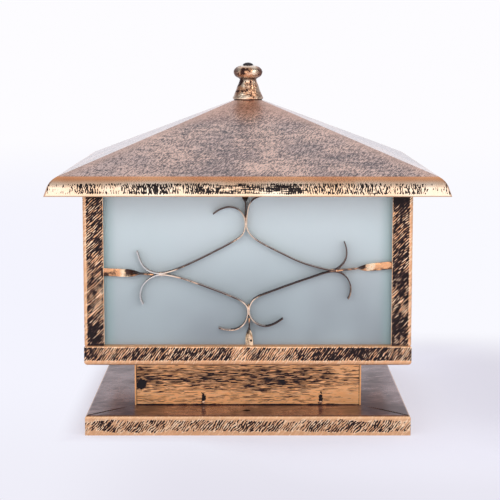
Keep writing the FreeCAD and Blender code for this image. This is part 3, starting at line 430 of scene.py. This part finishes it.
def neck_shape(g, plane):
    """The neck: paint by two curves, a blot, runs above the weld spots, and the sides' bright lap."""
    across, up, _ = plane
    curve_half = 0.09
    blot_at, blot_size = (-0.0840, 0.0318), (0.0042, 0.0044)
    run_rise, run_size = 0.0052, (0.0019, 0.0044)
    rise = g.curve(up, FOOT_TOP, SILL_LOW, (
        (0.0, 0.1), (0.15, 0.28), (0.22, 0.18), (0.34, 0.58), (0.5, 0.84), (0.7, 0.74), (0.78, 0.48),
        (0.9, 0.56), (1.0, 0.42),
    ))
    along = g.curve(across, -curve_half, curve_half, (
        (0.0, 0.6), (0.05, 0.55), (0.12, 0.5), (0.4, 0.52), (0.6, 0.62), (0.85, 0.45), (0.93, 0.12),
        (1.0, 0.1),
    ))
    spots = near(g, across, up, blot_at, blot_size, rag=1.4)
    for at in TACKS:
        spots = g.most(spots, near(g, across, up, (at, FOOT_TOP + run_rise), run_size, rag=3.2))
    facing_y = g.parts(g.facing)[1]
    front = g.below(facing_y, -0.5)
    front_or_rear = g.above(g.size(facing_y), 0.5)
    out = g.size(across)
    seam = g.fall(up, FOOT_TOP + 0.0005, FOOT_TOP + 0.0011, high=0.3)
    gap = g.mul(g.band(out, NECK_HALF - 0.0005, NECK_HALF - 0.0001, soft=0.0001), 0.3)
    lap = g.mul(front_or_rear, g.step(out, NECK_HALF, NECK_HALF + 0.0003))
    paint = g.add(g.mul(g.sub(g.add(rise, along), 1.0), 0.22), seam)
    paint = g.add(g.add(paint, g.mul(g.mul(spots, front), 0.5)), gap)
    return g.sub(paint, g.mul(lap, 0.6))


# The other finishes


def roof_slope(g, plane, cloud, hip):
    """Colour, paint and grain of the brushed slopes, browner near the finial, with a painted highlight along
    the hips.
    """
    pale, rose = rgb(252, 212, 190), rgb(222, 192, 180)
    thin_paint, thick_paint = rgb(98, 68, 62), rgb(60, 40, 40)
    crown_brown, hip_highlight = rgb(190, 124, 88), rgb(226, 184, 160)
    across, up, away = plane
    grain = g.noise(g.join(across, g.mul(up, 1.35), g.mul(away, 0.1)), scale=1700.0, roughness=0.6)
    brushed = strokes(g, plane, angle=32, width=0.00046, length=0.0023, seed=3.0, roughness=0.6)
    drawn = strokes(g, plane, angle=31, width=0.00062, length=0.008, seed=5.0, roughness=0.6)
    sweep = strokes(g, plane, angle=31, width=0.010, length=0.05, seed=9.0, detail=3.0, roughness=0.6)
    level = g.weigh((grain, 0.28), (brushed, 0.33), (drawn, 0.27), (sweep, 0.12))
    less_at_left = g.step(across, -0.11, -0.04, low=-0.014, high=0.0)
    paint = g.step(g.add(g.add(level, less_at_left), g.swing(cloud, 0.10)), 0.463, 0.525)
    ground = g.blend(g.step(cloud, 0.35, 0.65), pale, rose)
    shade = g.blend(g.step(sweep, 0.4, 0.62), thin_paint, thick_paint)
    crown = g.mul(g.step(g.add(up, g.swing(cloud, 0.012)), EAVE + 0.046, EAVE + 0.060), 0.5)
    # Painted highlight along the hips, where the rounded folds catch the light
    hip_highlight_band = g.fall(hip, 0.002, 0.016, high=0.5)
    colour = g.blend(crown, g.blend(paint, ground, shade), crown_brown)
    return g.blend(hip_highlight_band, colour, hip_highlight), paint, grain


def roof_lip(g, plane, cloud, hip):
    """Colour and marks of the lip: upright strokes, level ones in the middle, a pale colour that is a painted
    highlight, and painted shade along its corners and lower edge.
    """
    across, up, away = plane
    cream, tan, lip_shade_brown = rgb(255, 234, 210), rgb(244, 202, 164), rgb(128, 84, 62)
    middle_at = 0.008
    bare_low, bare_high, soft = 0.0016, 0.0098, 0.0010
    upright = hatch(
        g, plane, angle=90, pitch=0.0017, length=0.0029, seed=5.0, fan=12, sway=16.0, comb_share=0.07
    )
    lying = strokes(g, plane, angle=0, width=0.0008, length=0.012, seed=83.0)
    centre = g.fall(g.size(g.sub(across, middle_at)), 0.018, 0.05, high=0.55)
    patchy = g.swing(g.noise(g.join(across, up, away), scale=48.0), 0.34)
    face = g.band(up, EAVE + bare_low, EAVE + bare_high, soft)
    ends = g.fall(g.size(across), 0.120, 0.138)
    bare = worn_off(g, face, ends, base=0.66, gain=0.34, weight=0.3)
    marks = g.step(g.add(g.add(g.choose(centre, upright, lying), patchy), bare), 0.468, 0.505)
    # The lip's cream and tan are a painted highlight: the roof's copper painted paler where the lip faces the
    # front lamp
    colour = g.blend(g.step(cloud, 0.3, 0.7), cream, tan)
    # Painted shade along the lip's corners and along its lower edge
    lip_corner_shade = g.fall(hip, 0.0005, 0.0018, high=0.7)
    edge = g.fall(up, EAVE + 0.0003, EAVE + 0.0011, high=0.75)
    return g.blend(g.most(lip_corner_shade, edge), colour, lip_shade_brown), marks


def roof_material():
    """Pressed roof: finely brushed slopes, a plain fold and a pale lip, its paleness a painted highlight."""
    fold_light, fold_dark, mark_colour = rgb(255, 188, 136), rgb(232, 156, 106), rgb(26, 16, 16)
    g = material_graph("roof_copper")
    plane = face_plane(g, upright_only=True)
    x, y, _ = g.parts(g.place)
    upness = g.size(g.parts(g.facing)[2])
    cloud = g.noise(g.join(*plane), scale=22.0, detail=3.0, roughness=0.6)
    hip = g.size(g.sub(g.size(x), g.size(y)))
    slope, paint, grain = roof_slope(g, plane, cloud, hip)
    lip, marks = roof_lip(g, plane, cloud, hip)
    in_slope = g.step(upness, 0.86, 0.915)
    on_lip = g.fall(upness, 0.5, 0.78)
    marks = g.mul(marks, g.fall(upness, 0.6, 0.75))
    fold = g.blend(g.step(cloud, 0.3, 0.7), fold_light, fold_dark)
    colour = g.blend(on_lip, g.blend(in_slope, fold, slope), lip)
    dull = g.most(marks, g.mul(in_slope, g.mul(paint, 0.6)))
    return g.surface(
        Base_Color=g.blend(marks, colour, mark_colour),
        Metallic=g.choose(dull, 0.8, 0.4),
        Roughness=g.add(g.choose(in_slope, 0.28, 0.4), g.swing(grain, 0.2)),
        Specular_IOR_Level=0.25,
        Normal=g.bump(g.mul(grain, in_slope), distance=0.00012, strength=0.5),
        Coat_Weight=g.choose(in_slope, g.choose(marks, 0.3, 0.03), 1.0),
        Coat_Roughness=0.2,
    )


def scroll_material():
    """Bent strips: dark lacquered faces, and pale copper where the cut edges have worn bright, with painted
    highlights near the joints and on the far left, and painted shade at the top curl and lower right.
    """
    dark, brown, grey = rgb(44, 32, 34), rgb(88, 66, 60), rgb(168, 156, 150)
    edge_dark, edge_bright, joint_highlight_cream = rgb(84, 62, 56), rgb(238, 202, 172), rgb(244, 220, 196)
    shaded_edge, shaded_flat = rgb(66, 48, 46), rgb(48, 36, 40)
    lit_left_edge, lit_left_flat = rgb(216, 216, 214), rgb(190, 182, 176)
    g = material_graph("ornament_bronze")
    x, y, z = g.parts(g.place)
    nx, ny, _ = g.parts(g.facing)
    across = face_plane(g, upright_only=True)[0]
    at_side = g.above(g.size(x), g.size(y))
    edge = g.step(g.size(g.choose(at_side, ny, nx)), 0.6, 0.85)
    grain = g.noise(g.place, scale=800.0, detail=3.0, roughness=0.6)
    patch = g.noise(g.place, scale=45.0)
    mottle = g.weigh((grain, 0.3), (patch, 0.7))
    worn = g.step(mottle, 0.46, 0.57)
    worn_edge = g.step(g.add(mottle, g.step(z, SILL_TOP, EAVE, low=0.05, high=-0.06)), 0.51, 0.61)
    upper_half = g.step(z, SILL_TOP + 0.058, SILL_TOP + 0.066, high=0.6)
    flats = g.blend(upper_half, g.blend(worn, dark, brown), grey)
    edges = g.blend(worn_edge, edge_dark, edge_bright)
    # Painted highlights on the cut edges near where the strips meet
    middle_joint_highlight = g.fall(g.size(across), 0.003, 0.009, high=0.65)
    left_joint_highlight = g.band(across, -0.07, -0.055, soft=0.003)
    edges = g.blend(g.most(middle_joint_highlight, left_joint_highlight), edges, joint_highlight_cream)
    # Painted shade at the top curl and on the strips at the lower right
    top_curl = g.mul(g.step(across, 0.0008, 0.0030), g.step(z, EAVE - 0.022, EAVE - 0.013))
    lower_right = g.mul(g.step(across, 0.006, 0.012), g.fall(z, SILL_TOP + 0.050, SILL_TOP + 0.062))
    lower_right = g.mul(lower_right, 0.6)
    edges = g.blend(g.most(top_curl, lower_right), edges, shaded_edge)
    flats = g.blend(lower_right, flats, shaded_flat)
    # Painted light: the strips on the far left are paler, as where light falls on them
    lit_far_left = g.fall(across, -0.070, -0.060, high=0.75)
    edges = g.blend(lit_far_left, edges, lit_left_edge)
    flats = g.blend(lit_far_left, flats, lit_left_flat)
    return g.surface(
        Base_Color=g.blend(edge, flats, edges),
        Metallic=g.choose(edge, 0.2, 0.75),
        Roughness=g.choose(edge, g.choose(worn, 0.66, 0.55), 0.34),
        Specular_IOR_Level=0.2,
        Normal=g.bump(grain, distance=0.00008, strength=0.4),
        Coat_Weight=g.choose(edge, 0.03, 0.2),
        Coat_Roughness=0.2,
    )


def stay_material():
    """Twisted strips: hammered copper, dark where they meet the frame, with painted shade at the twist and a
    painted highlight beside it, and a small hole.
    """
    copper, bright = rgb(236, 172, 122), rgb(255, 226, 186)
    paint_colour, hollow = rgb(60, 36, 28), rgb(10, 8, 9)
    hole_at, hole_rise = 0.0024, 0.0036
    g = material_graph("stay_copper")
    x, y, _ = g.parts(g.place)
    across, up, _ = face_plane(g, upright_only=True)
    beside = g.least(g.size(x), g.size(y))
    grain = g.noise(g.place, scale=900.0, detail=3.0, roughness=0.6)
    patch = g.noise(g.place, scale=120.0, detail=1.0)
    at_post = g.step(beside, 0.101, 0.109, high=0.13)
    at_roof = g.step(up, EAVE - 0.020, EAVE - 0.010, high=0.4)
    # Painted shade where the strip turns away at its twist
    twist_shade = g.mul(g.band(beside, 0.079, 0.0875, soft=0.002), 0.12)
    tip = g.band(up, SILL_TOP + 0.0125, SILL_TOP + 0.018, soft=0.002)
    tip = g.mul(tip, g.fall(beside, 0.01, 0.02, high=0.16))
    ends = g.most(g.most(at_post, at_roof), tip)
    paint = g.step(g.add(g.weigh((grain, 0.25), (patch, 0.75)), g.add(ends, twist_shade)), 0.49, 0.62)
    # Painted highlight beside the twist, where the bending strip would catch the light
    twist_highlight = g.band(g.add(beside, g.swing(patch, 0.012)), 0.0895, 0.0955, soft=0.0015)
    twist_highlight = g.mul(g.mul(twist_highlight, g.step(grain, 0.3, 0.5)), g.step(up, SILL_TOP + 0.03, SILL_TOP + 0.04))
    lowest = g.mul(g.fall(beside, 0.006, 0.012, high=0.8), g.fall(up, SILL_TOP + 0.015, SILL_TOP + 0.019))
    shine = g.most(twist_highlight, lowest)
    from_hole = g.length(g.sub(across, hole_at), g.sub(up, SILL_TOP + hole_rise))
    hole = g.fall(from_hole, 0.0007, 0.0011)
    dents = g.noise(g.place, scale=260.0, detail=1.0, roughness=0.4)
    colour = g.blend(paint, g.blend(shine, copper, bright), paint_colour)
    return g.surface(
        Base_Color=g.blend(hole, colour, hollow),
        Metallic=g.choose(hole, g.choose(paint, 0.8, 0.4), 0.0),
        Roughness=g.choose(hole, g.choose(paint, 0.2, 0.38), 1.0),
        Specular_IOR_Level=0.3,
        Normal=g.bump(g.sub(g.add(dents, g.mul(grain, 0.1)), hole), distance=0.0014, strength=0.5),
        Coat_Weight=g.choose(hole, g.choose(paint, 0.4, 0.05), 0.0),
        Coat_Roughness=0.12,
    )


def weld_material():
    """Weld metal under worn copper lacquer."""
    bright, paint_colour = rgb(250, 206, 168), rgb(120, 78, 58)
    g = material_graph("weld_copper")
    grain = g.noise(g.place, scale=1100.0, detail=3.0, roughness=0.6)
    lumps = g.noise(g.place, scale=420.0)
    paint = g.step(g.weigh((grain, 0.4), (lumps, 0.6)), 0.5, 0.6)
    return g.surface(
        Base_Color=g.blend(paint, bright, paint_colour),
        Metallic=0.8,
        Roughness=g.choose(paint, 0.22, 0.4),
        Normal=g.bump(lumps, distance=0.0004, strength=0.4),
        Coat_Weight=0.4,
        Coat_Roughness=0.15,
    )


def finial_material():
    """Cast copper: bright, with dark paint in its dents, dark paint and painted shade under the ball, and
    painted shade and duller gloss at its sides.
    """
    cream, copper, side_shade_brown, paint_colour = (
        rgb(255, 232, 204), rgb(226, 170, 130), rgb(104, 62, 48), rgb(58, 32, 26)
    )
    run_at, run_size = (-0.0064, 0.0145), (0.0030, 0.0034)
    g = material_graph("finial_cast")
    x, y, z = g.parts(g.place)
    rise = g.sub(z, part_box("finial")[0].z)
    lumps = g.noise(g.place, scale=330.0, roughness=0.6, distortion=0.5)
    pits = g.noise(g.place, scale=800.0)
    patch = g.noise(g.place, scale=120.0)
    dents = g.step(g.add(g.weigh((lumps, 0.6), (pits, 0.25)), g.swing(patch, 0.6)), 0.47, 0.55)
    run = g.mul(near(g, x, rise, run_at, run_size), g.below(y, 0.0))
    # Dark paint under the ball, partly painted shade
    paint_and_shade_under_ball = g.mul(g.band(rise, 0.0152, 0.0178, soft=0.0010), 0.8)
    paint = g.most(dents, g.most(run, paint_and_shade_under_ball))
    # Painted shade: the finial's left and right sides are browner
    sides = g.mul(g.step(g.size(x), 0.0050, 0.0105), g.step(rise, 0.016, 0.018, low=0.5, high=0.95))
    tone = g.blend(sides, g.blend(g.step(patch, 0.40, 0.60), cream, copper), side_shade_brown)
    return g.surface(
        Base_Color=g.blend(paint, tone, paint_colour),
        Metallic=g.choose(paint, 0.92, 0.5),
        Roughness=g.add(g.choose(paint, 0.16, 0.36), g.mul(sides, 0.2)),
        Specular_IOR_Level=0.2,
        Normal=g.bump(g.add(lumps, pits), distance=0.0006, strength=0.6),
        Coat_Weight=g.mul(g.choose(paint, 0.3, 0.05), g.sub(1.0, sides)),
        Coat_Roughness=0.1,
    )


def pane_material():
    """Frosted pane: darker low down and paler upwards as painted light, greener along its upright edges, with
    a painted shadow of the lampholder.
    """
    shaded_low_tint, lit_high_tint, cloud_tint = rgb(154, 163, 167), rgb(240, 252, 252), rgb(214, 230, 230)
    rim_green, lampholder_shadow_grey = rgb(150, 190, 186), rgb(158, 168, 172)
    shadow_rise, shadow_half_width, shadow_half_height = 0.034, 0.055, 0.036
    g = material_graph("pane_frosted")
    across, up, _ = face_plane(g, upright_only=True)
    cloud = g.noise(g.place, scale=14.0)
    frost = g.noise(g.place, scale=2600.0, roughness=0.6)
    # Painted light: the pane is darker low down and paler high up
    tint = g.blend(g.step(up, PANE_LOW, PANE_TOP), shaded_low_tint, lit_high_tint)
    tint = g.blend(g.step(cloud, 0.35, 0.65, high=0.3), tint, cloud_tint)
    rim = g.mul(g.step(g.size(across), 0.098, 0.1085), 0.45)
    tint = g.blend(rim, tint, rim_green)
    # Painted shadow of the lampholder, a soft grey patch low in the middle
    aside = g.mul(across, 1 / shadow_half_width)
    above = g.mul(g.sub(up, PANE_LOW + shadow_rise), 1 / shadow_half_height)
    patch = g.fall(g.length(aside, above), 0.2, 1.2, high=0.38)
    tint = g.blend(patch, tint, lampholder_shadow_grey)
    return g.surface(
        Base_Color=tint,
        Roughness=0.5,
        IOR=1.45,
        Transmission_Weight=0.25,
        Specular_IOR_Level=0.4,
        Normal=g.bump(frost, distance=0.00002, strength=0.3),
    )


def plain_material(name, colour, metallic, roughness):
    """A fitting's material, with fine grain and soft patches in its colour and gloss."""
    g = material_graph(name)
    grain = g.noise(g.place, scale=700.0, detail=3.0, roughness=0.6)
    patch = g.noise(g.place, scale=60.0, detail=3.0, roughness=0.6)
    tone = g.step(g.weigh((grain, 0.4), (patch, 0.6)), 0.35, 0.65)
    return g.surface(
        Base_Color=g.blend(tone, darker(colour, 0.85), colour),
        Metallic=metallic,
        Roughness=g.step(grain, 0.2, 0.8, 0.8 * roughness, min(1.0, 1.25 * roughness)),
        Normal=g.bump(grain, distance=0.00005, strength=0.3),
    )


def opal_material():
    """Opal glass of the lamp's globe."""
    g = material_graph("lamp_opal")
    return g.surface(
        Base_Color=g.blend(g.noise(g.place, scale=60.0), rgb(246, 244, 238), rgb(236, 236, 232)),
        Roughness=0.3,
        IOR=1.45,
        Transmission_Weight=0.45,
    )


MATERIALS = {
    "foot": antique(
        "foot_copper", foot_shape, seed=3.0, angle=52, pitch=0.0017, length=0.0052, cover=0.545, spread=0.018,
        patch=0.3, fan=20, pale=1.0, comb_share=0.1, copper=rgb(226, 174, 130), coat_roughness=0.1,
        flange=foot_flange,
    ),
    # The neck's copper is paler than the rest: a painted highlight for the light the flange and floor throw
    # up onto it
    "neck": antique(
        "neck_copper", neck_shape, seed=17.0, angle=0.5, pitch=0.0009, length=0.0078, cover=0.435,
        spread=0.028, patch=0.10, fan=2, pale=0.25, sway=6.0, patch_size=0.02, copper=rgb(255, 184, 120),
        mid=rgb(104, 68, 52), dark=rgb(34, 28, 32), metal=0.6,
    ),
    "sill": antique(
        "sill_copper", sill_shape, seed=29.0, angle=54, pitch=0.0015, length=0.0055, cover=0.75, spread=0.022,
        patch=0.24, fan=14, pale=0.85, sway=13.0, comb_share=0.1,
    ),
    "post": antique(
        "post_copper", post_shape, seed=43.0, angle=43, pitch=0.0015, length=0.0065, cover=0.84, spread=0.022,
        patch=0.3, fan=12, pale=0.9, sway=13.0, comb_share=0.1,
    ),
    "roof": roof_material(),
    "scroll": scroll_material(),
    "stay": stay_material(),
    "weld": weld_material(),
    "finial": finial_material(),
    "pane": pane_material(),
    "zinc": plain_material("zinc", rgb(186, 190, 196), metallic=0.9, roughness=0.34),
    "rubber": plain_material("rubber", rgb(30, 30, 32), metallic=0.0, roughness=0.7),
    "foam": plain_material("foam", rgb(44, 44, 47), metallic=0.0, roughness=0.95),
    "porcelain": plain_material("porcelain", rgb(236, 233, 224), metallic=0.0, roughness=0.18),
    "brass": plain_material("brass", rgb(212, 178, 104), metallic=0.95, roughness=0.25),
    "terminal": plain_material("terminal", rgb(228, 226, 218), metallic=0.0, roughness=0.45),
    "brown_lead": plain_material("brown_lead", rgb(92, 52, 30), metallic=0.0, roughness=0.35),
    "blue_lead": plain_material("blue_lead", rgb(36, 82, 160), metallic=0.0, roughness=0.35),
    "lamp_cap": plain_material("lamp_cap", rgb(206, 207, 210), metallic=0.95, roughness=0.25),
    "dark_cap": plain_material("dark_cap", rgb(52, 46, 48), metallic=0.3, roughness=0.4),
    "opal": opal_material(),
}

# How the names of each material's nodes start. The first match counts, so the cap comes before the finial.
STARTS = {
    "foot": ("base_rail",),
    "neck": ("neck",),
    "sill": ("lower_rail",),
    "post": ("post", "top_rail"),
    "pane": ("glass_",),
    "scroll": ("scrolls",),
    "stay": ("stays",),
    "roof": ("roof_shell",),
    "foam": ("roof_gasket",),
    "dark_cap": ("finial_cap",),
    "finial": ("finial",),
    "rubber": ("sealing_washer", "cable_grommet"),
    "zinc": (
        "roof_rod", "rod_nuts", "crossbar", "floor_plate", "shelf_plate", "lower_glass_clips",
        "upper_glass_clips", "holder_bracket", "holder_screws",
    ),
    "porcelain": ("holder_body",),
    "brass": ("holder_shell", "holder_contact", "earth_screw", "bulb_contact"),
    "terminal": ("terminal_block",),
    "brown_lead": ("live_lead",),
    "blue_lead": ("neutral_lead",),
    "lamp_cap": ("bulb_cap",),
    "opal": ("bulb_globe",),
}

# Widths of the worn bevels in millimetres, on nodes whose names start so, and the bend that makes an edge
WORN_EDGES = {
    "base_rail": 0.25, "neck": 0.2, "lower_rail": 0.25, "post": 0.25, "roof_shell": 0.4, "glass_": 0.3,
    "scrolls": 0.2, "stays": 0.2,
}
EDGE_BEND = math.radians(38)

for name, node in NODES.items():
    look = next(look for look, starts in STARTS.items() if name.startswith(starts))
    node.data.materials.clear()
    node.data.materials.append(MATERIALS[look])
    for start, width in WORN_EDGES.items():
        if name.startswith(start):
            bevel = node.modifiers.new("worn_edge", "BEVEL")
            bevel.width = width * MM
            bevel.segments = 2
            bevel.limit_method = "ANGLE"
            bevel.angle_limit = EDGE_BEND


# Pieces made here: welds and the cast finial


def mesh_object(name, points, faces, material):
    """A smooth shaded object with one material."""
    mesh = bpy.data.meshes.new(name)
    mesh.from_pydata(points, [], faces)
    mesh.validate()
    mesh.polygons.foreach_set("use_smooth", [True] * len(mesh.polygons))
    mesh.materials.append(material)
    piece = bpy.data.objects.new(name, mesh)
    bpy.context.scene.collection.objects.link(piece)
    return piece


def lump(centre, size, seed):
    """Points and faces of a rounded lump of weld metal, uneven all over. size gives its half sizes."""
    squareness, unevenness = 0.75, 0.16
    broad_waves, fine_waves, fine_share = 2.3, 6.1, 0.4
    ball = bmesh.new()
    bmesh.ops.create_icosphere(ball, subdivisions=4, radius=1.0)
    points = []
    for vert in ball.verts:
        way = Vector(math.copysign(abs(c) ** squareness, c) for c in vert.co)
        broad = noise.noise(vert.co * broad_waves + Vector((seed, 0, 0)))
        fine = noise.noise(vert.co * fine_waves + Vector((0, seed, 0)))
        swell = 1 + unevenness * (broad + fine_share * fine - 0.5)
        points.append(tuple(c + w * s * swell for c, w, s in zip(centre, way, size)))
    faces = [tuple(v.index for v in face.verts) for face in ball.faces]
    ball.free()
    return points, faces


def turned(point, side):
    """A point of the front carried to another side, by quarter turns about Z."""
    x, y, z = point
    for _ in range(side):
        x, y = -y, x
    return x, y, z


def weld_pieces(name, specs):
    """On each side, one piece of several lumps, each given as centre and half sizes at the front."""
    seed_step = 3.7
    for side, word in enumerate(SIDES):
        points, faces = [], []
        for number, (centre, size) in enumerate(specs):
            more, cells = lump(centre, size, seed_step * number + side)
            faces += [tuple(v + len(points) for v in cell) for cell in cells]
            points += more
        piece = mesh_object(name + "_" + word, [turned(p, side) for p in points], faces, MATERIALS["weld"])
        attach(piece, "lantern")


def ornament_welds():
    """A weld where each pair of strips meets, four on every side, a little thicker than the strips."""
    lowest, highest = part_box("scrolls_front")
    stand_out = 0.00012
    depth = (lowest.y + highest.y) / 2
    half_depth = (highest.y - lowest.y) / 2 + stand_out
    rise = POST_HIGH.z - SILL_TOP
    # Across and up as shares of the opening, then half width and half height
    joints = (
        (-0.600, 0.4685, 0.0043, 0.0014),
        (0.598, 0.4905, 0.0041, 0.0014),
        (-0.0130, 0.815, 0.00112, 0.0052),
        (0.0050, 0.232, 0.00115, 0.0048),
    )
    weld_pieces("ornament_welds", [
        ((across * POST_LOW.x, depth, SILL_TOP + up * rise), (half_width, half_depth, half_height))
        for across, up, half_width, half_height in joints
    ])


def neck_tacks():
    """Two weld spots at the neck's foot on every side."""
    sunk, raised = 0.0002, 0.0022
    half_sizes = (0.0015, 0.0008, 0.0013)
    weld_pieces("neck_tacks", [((at, NECK_FACE - sunk, FOOT_TOP + raised), half_sizes) for at in TACKS])


# The finial's outline from its foot to its top: radius and height in millimetres
FINIAL_OUTLINE = (
    (12.35, 0.0), (12.6, 0.5), (12.6, 1.3), (12.2, 2.0), (11.2, 4.4), (10.0, 7.4), (8.9, 10.4), (7.8, 13.2),
    (7.1, 15.4), (7.0, 16.4), (8.0, 17.2), (10.0, 18.4), (11.4, 20.0), (11.95, 21.8), (11.8, 23.2),
    (10.9, 24.9), (9.4, 26.2), (7.4, 27.1), (5.2, 27.5),
)
FINIAL_SEGMENTS = 112
OUTLINE_PARTS = 5


def smooth_between(a, b, c, d, t):
    """A number on the smooth curve through b and c, at the share t of the way, with a and d beyond them."""
    square = (2 * a - 5 * b + 4 * c - d) * t * t
    cube = (3 * b - a - 3 * c + d) * t ** 3
    return 0.5 * (2 * b + (c - a) * t + square + cube)


def smooth_line(points, parts):
    """A smooth line through all the points, with each stretch between two in so many parts."""
    line = []
    ends = [points[0], *points, points[-1]]
    for stretch in zip(ends, ends[1:], ends[2:], ends[3:]):
        for step in range(parts):
            line.append(tuple(smooth_between(*levels, step / parts) for levels in zip(*stretch)))
    return [*line, points[-1]]


def mould_dent(at):
    """How far the mould's uneven skin lies inside the outline, in millimetres, at a place in millimetres."""
    mean_depth = 0.10
    broad = 0.22 * noise.noise(at * 0.33)
    fine = 0.16 * noise.noise(at * 0.8 + Vector((9, 0, 0)))
    pocks = 0.30 * max(0.0, noise.noise(at * 0.5 + Vector((0, 7, 0))) - 0.18)
    return max(0.0, mean_depth + broad + fine + pocks)


def cast_finial():
    """Cast finial with the uneven skin of its mould, bored for the rod and for the dome's stem."""
    rod_bore, rod_bore_top, stem_bore = 0.00405, 0.0140, 0.00205
    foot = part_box("finial")[0].z
    stem_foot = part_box("finial_cap")[0].z - foot
    outline = [(radius * MM, height * MM) for radius, height in smooth_line(FINIAL_OUTLINE, OUTLINE_PARTS)]
    # Radius, height and whether the ring is part of the mould's skin
    rings = [(rod_bore, rod_bore_top, False), (rod_bore, 0.0, False)]
    rings += [(radius, height, True) for radius, height in outline]
    rings += [(stem_bore, outline[-1][1], False), (stem_bore, stem_foot, False)]
    points, faces = [], []
    for radius, height, skin in rings:
        for step in range(FINIAL_SEGMENTS):
            angle = math.tau * step / FINIAL_SEGMENTS
            x, y = math.cos(angle), math.sin(angle)
            at = Vector((x * radius, y * radius, height)) / MM
            inner = radius - (mould_dent(at) * MM if skin else 0.0)
            points.append((x * inner, y * inner, foot + height))
    rod_end = len(points)
    stem_end = rod_end + 1
    points += [(0, 0, foot + rod_bore_top), (0, 0, foot + stem_foot)]
    top_ring = (len(rings) - 1) * FINIAL_SEGMENTS
    around = [(step, (step + 1) % FINIAL_SEGMENTS) for step in range(FINIAL_SEGMENTS)]
    for low in range(0, top_ring, FINIAL_SEGMENTS):
        high = low + FINIAL_SEGMENTS
        faces += [(low + step, low + after, high + after, high + step) for step, after in around]
    for step, after in around:
        faces.append((after, step, rod_end))
        faces.append((top_ring + step, top_ring + after, stem_end))
    piece = mesh_object("cast_finial", points, faces, MATERIALS["finial"])
    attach(piece, "finial")
    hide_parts("finial")


ornament_welds()
neck_tacks()
cast_finial()


# Floor, room, lights and camera

FLOOR_HALF = 9
WHITE = rgb(253, 252, 255)


def floor_material():
    """Pale floor: lit beside the foot, and an even glow further off, where the camera sees it, with painted
    shadow in front of the foot and at its right.
    """
    near_left, near_right, shadow_in_front = rgb(239, 238, 248), rgb(233, 231, 242), rgb(229, 227, 238)
    behind_left, behind_right, right_shade = rgb(244, 244, 254), rgb(249, 249, 255), rgb(208, 204, 216)
    g = material_graph("studio_floor")
    x, y, _ = g.parts(g.place)
    reach = g.length(x, y)
    right_half = g.step(x, -0.1, 0.1)
    in_front = g.blend(right_half, near_left, near_right)
    # Painted shadow: darker in front of the foot, in the middle and to the right
    in_front = g.blend(g.band(x, -0.09, 0.09, soft=0.06), in_front, shadow_in_front)
    behind = g.blend(right_half, behind_left, behind_right)
    colour = g.blend(g.step(y, -0.32, 0.1), in_front, behind)
    far_off = g.most(g.step(y, 0.6, 5.0), g.step(reach, 1.0, 4.0))
    colour = g.blend(far_off, colour, WHITE)
    # Painted shadow beside the foot at its right
    right_shadow = g.mul(g.step(x, 0.11, 0.19), g.fall(x, 0.16, 0.42))
    right_shadow = g.mul(right_shadow, g.band(y, -0.14, 0.22, soft=0.10))
    colour = g.blend(right_shadow, colour, right_shade)
    beside = g.sub(g.most(g.size(x), g.size(y)), FOOT_HALF)
    fade_width = g.step(x, -0.05, 0.05, low=0.025, high=0.16)
    fade = g.step(g.math("DIVIDE", beside, fade_width), 0.0, 1.0)
    shadowed = g.diffuse(rgb(196, 195, 203))
    glowing = g.emission(rgb(240, 239, 248), strength=0.42)
    seen = g.mixed(fade, g.node("ShaderNodeAddShader", {0: shadowed, 1: glowing}), g.emission(colour))
    rays = g.rays()
    distant = g.mul(rays["Is Glossy Ray"], g.step(reach, 0.8, 2.0))
    lit = g.mixed(distant, g.diffuse(rgb(242, 241, 248)), g.emission(WHITE))
    return g.show(g.mixed(rays["Is Camera Ray"], lit, seen))


def studio_world():
    """White room: bright behind, dimmer at the sides, overhead and behind the camera."""
    g = Graph(bpy.data.worlds.new("studio"))
    x, y, z = g.parts(g.direction)
    rear = g.step(y, -0.3, 0.7, low=0.62, high=1.1)
    overhead = g.step(z, 0.4, 0.95, low=1.0, high=0.66)
    sides = g.step(g.size(x), 0.35, 0.9, low=1.0, high=0.38)
    reflected = g.mul(g.mul(rear, overhead), sides)
    rays = g.rays()
    lighting = g.most(reflected, 0.9)
    strength = g.choose(rays["Is Diffuse Ray"], reflected, lighting)
    room = g.background(rgb(240, 240, 248), strength)
    through = g.background(rgb(248, 250, 255), strength=1.1)
    shaded = g.mixed(rays["Is Transmission Ray"], room, through)
    return g.show(g.mixed(rays["Is Camera Ray"], shaded, g.background(WHITE)), "ShaderNodeOutputWorld")


def softbox(name, place, width, height, power):
    """An oblong studio lamp, turned towards the middle of the pillar light."""
    target = Vector((0, 0, 0.12))
    light = bpy.data.lights.new(name, "AREA")
    light.shape = "RECTANGLE"
    light.size = width
    light.size_y = height
    light.energy = power
    lamp = bpy.data.objects.new(name, light)
    lamp.location = place
    lamp.rotation_euler = (target - Vector(place)).to_track_quat("-Z", "Y").to_euler()
    bpy.context.scene.collection.objects.link(lamp)


def photo_camera():
    """The camera that was fitted to the photograph. It stands in front and looks down a little."""
    place = (0.001665, -1.24845, 0.293148)
    degrees_from_straight_down = 82.425
    sensor_width, focal_length = 36, 108
    data = bpy.data.cameras.new("camera")
    data.sensor_width = sensor_width
    data.lens = focal_length
    camera = bpy.data.objects.new("camera", data)
    camera.location = place
    camera.rotation_euler = (math.radians(degrees_from_straight_down), 0, 0)
    bpy.context.scene.collection.objects.link(camera)
    return camera


floor_corners = [(x * FLOOR_HALF, y * FLOOR_HALF, 0) for x, y in ((-1, -1), (1, -1), (1, 1), (-1, 1))]
floor = mesh_object("studio_floor", floor_corners, [(0, 1, 2, 3)], floor_material())

softbox("front_light", (0.0, -2.3, 0.95), width=3.6, height=1.7, power=22)
softbox("right_light", (1.5, -0.9, 1.0), width=0.5, height=0.8, power=5)
softbox("left_light", (-1.6, -1.0, 0.8), width=0.5, height=1.2, power=2.5)

bpy.context.scene.world = studio_world()
bpy.context.scene.camera = photo_camera()
bpy.context.scene.view_settings.view_transform = "Standard"
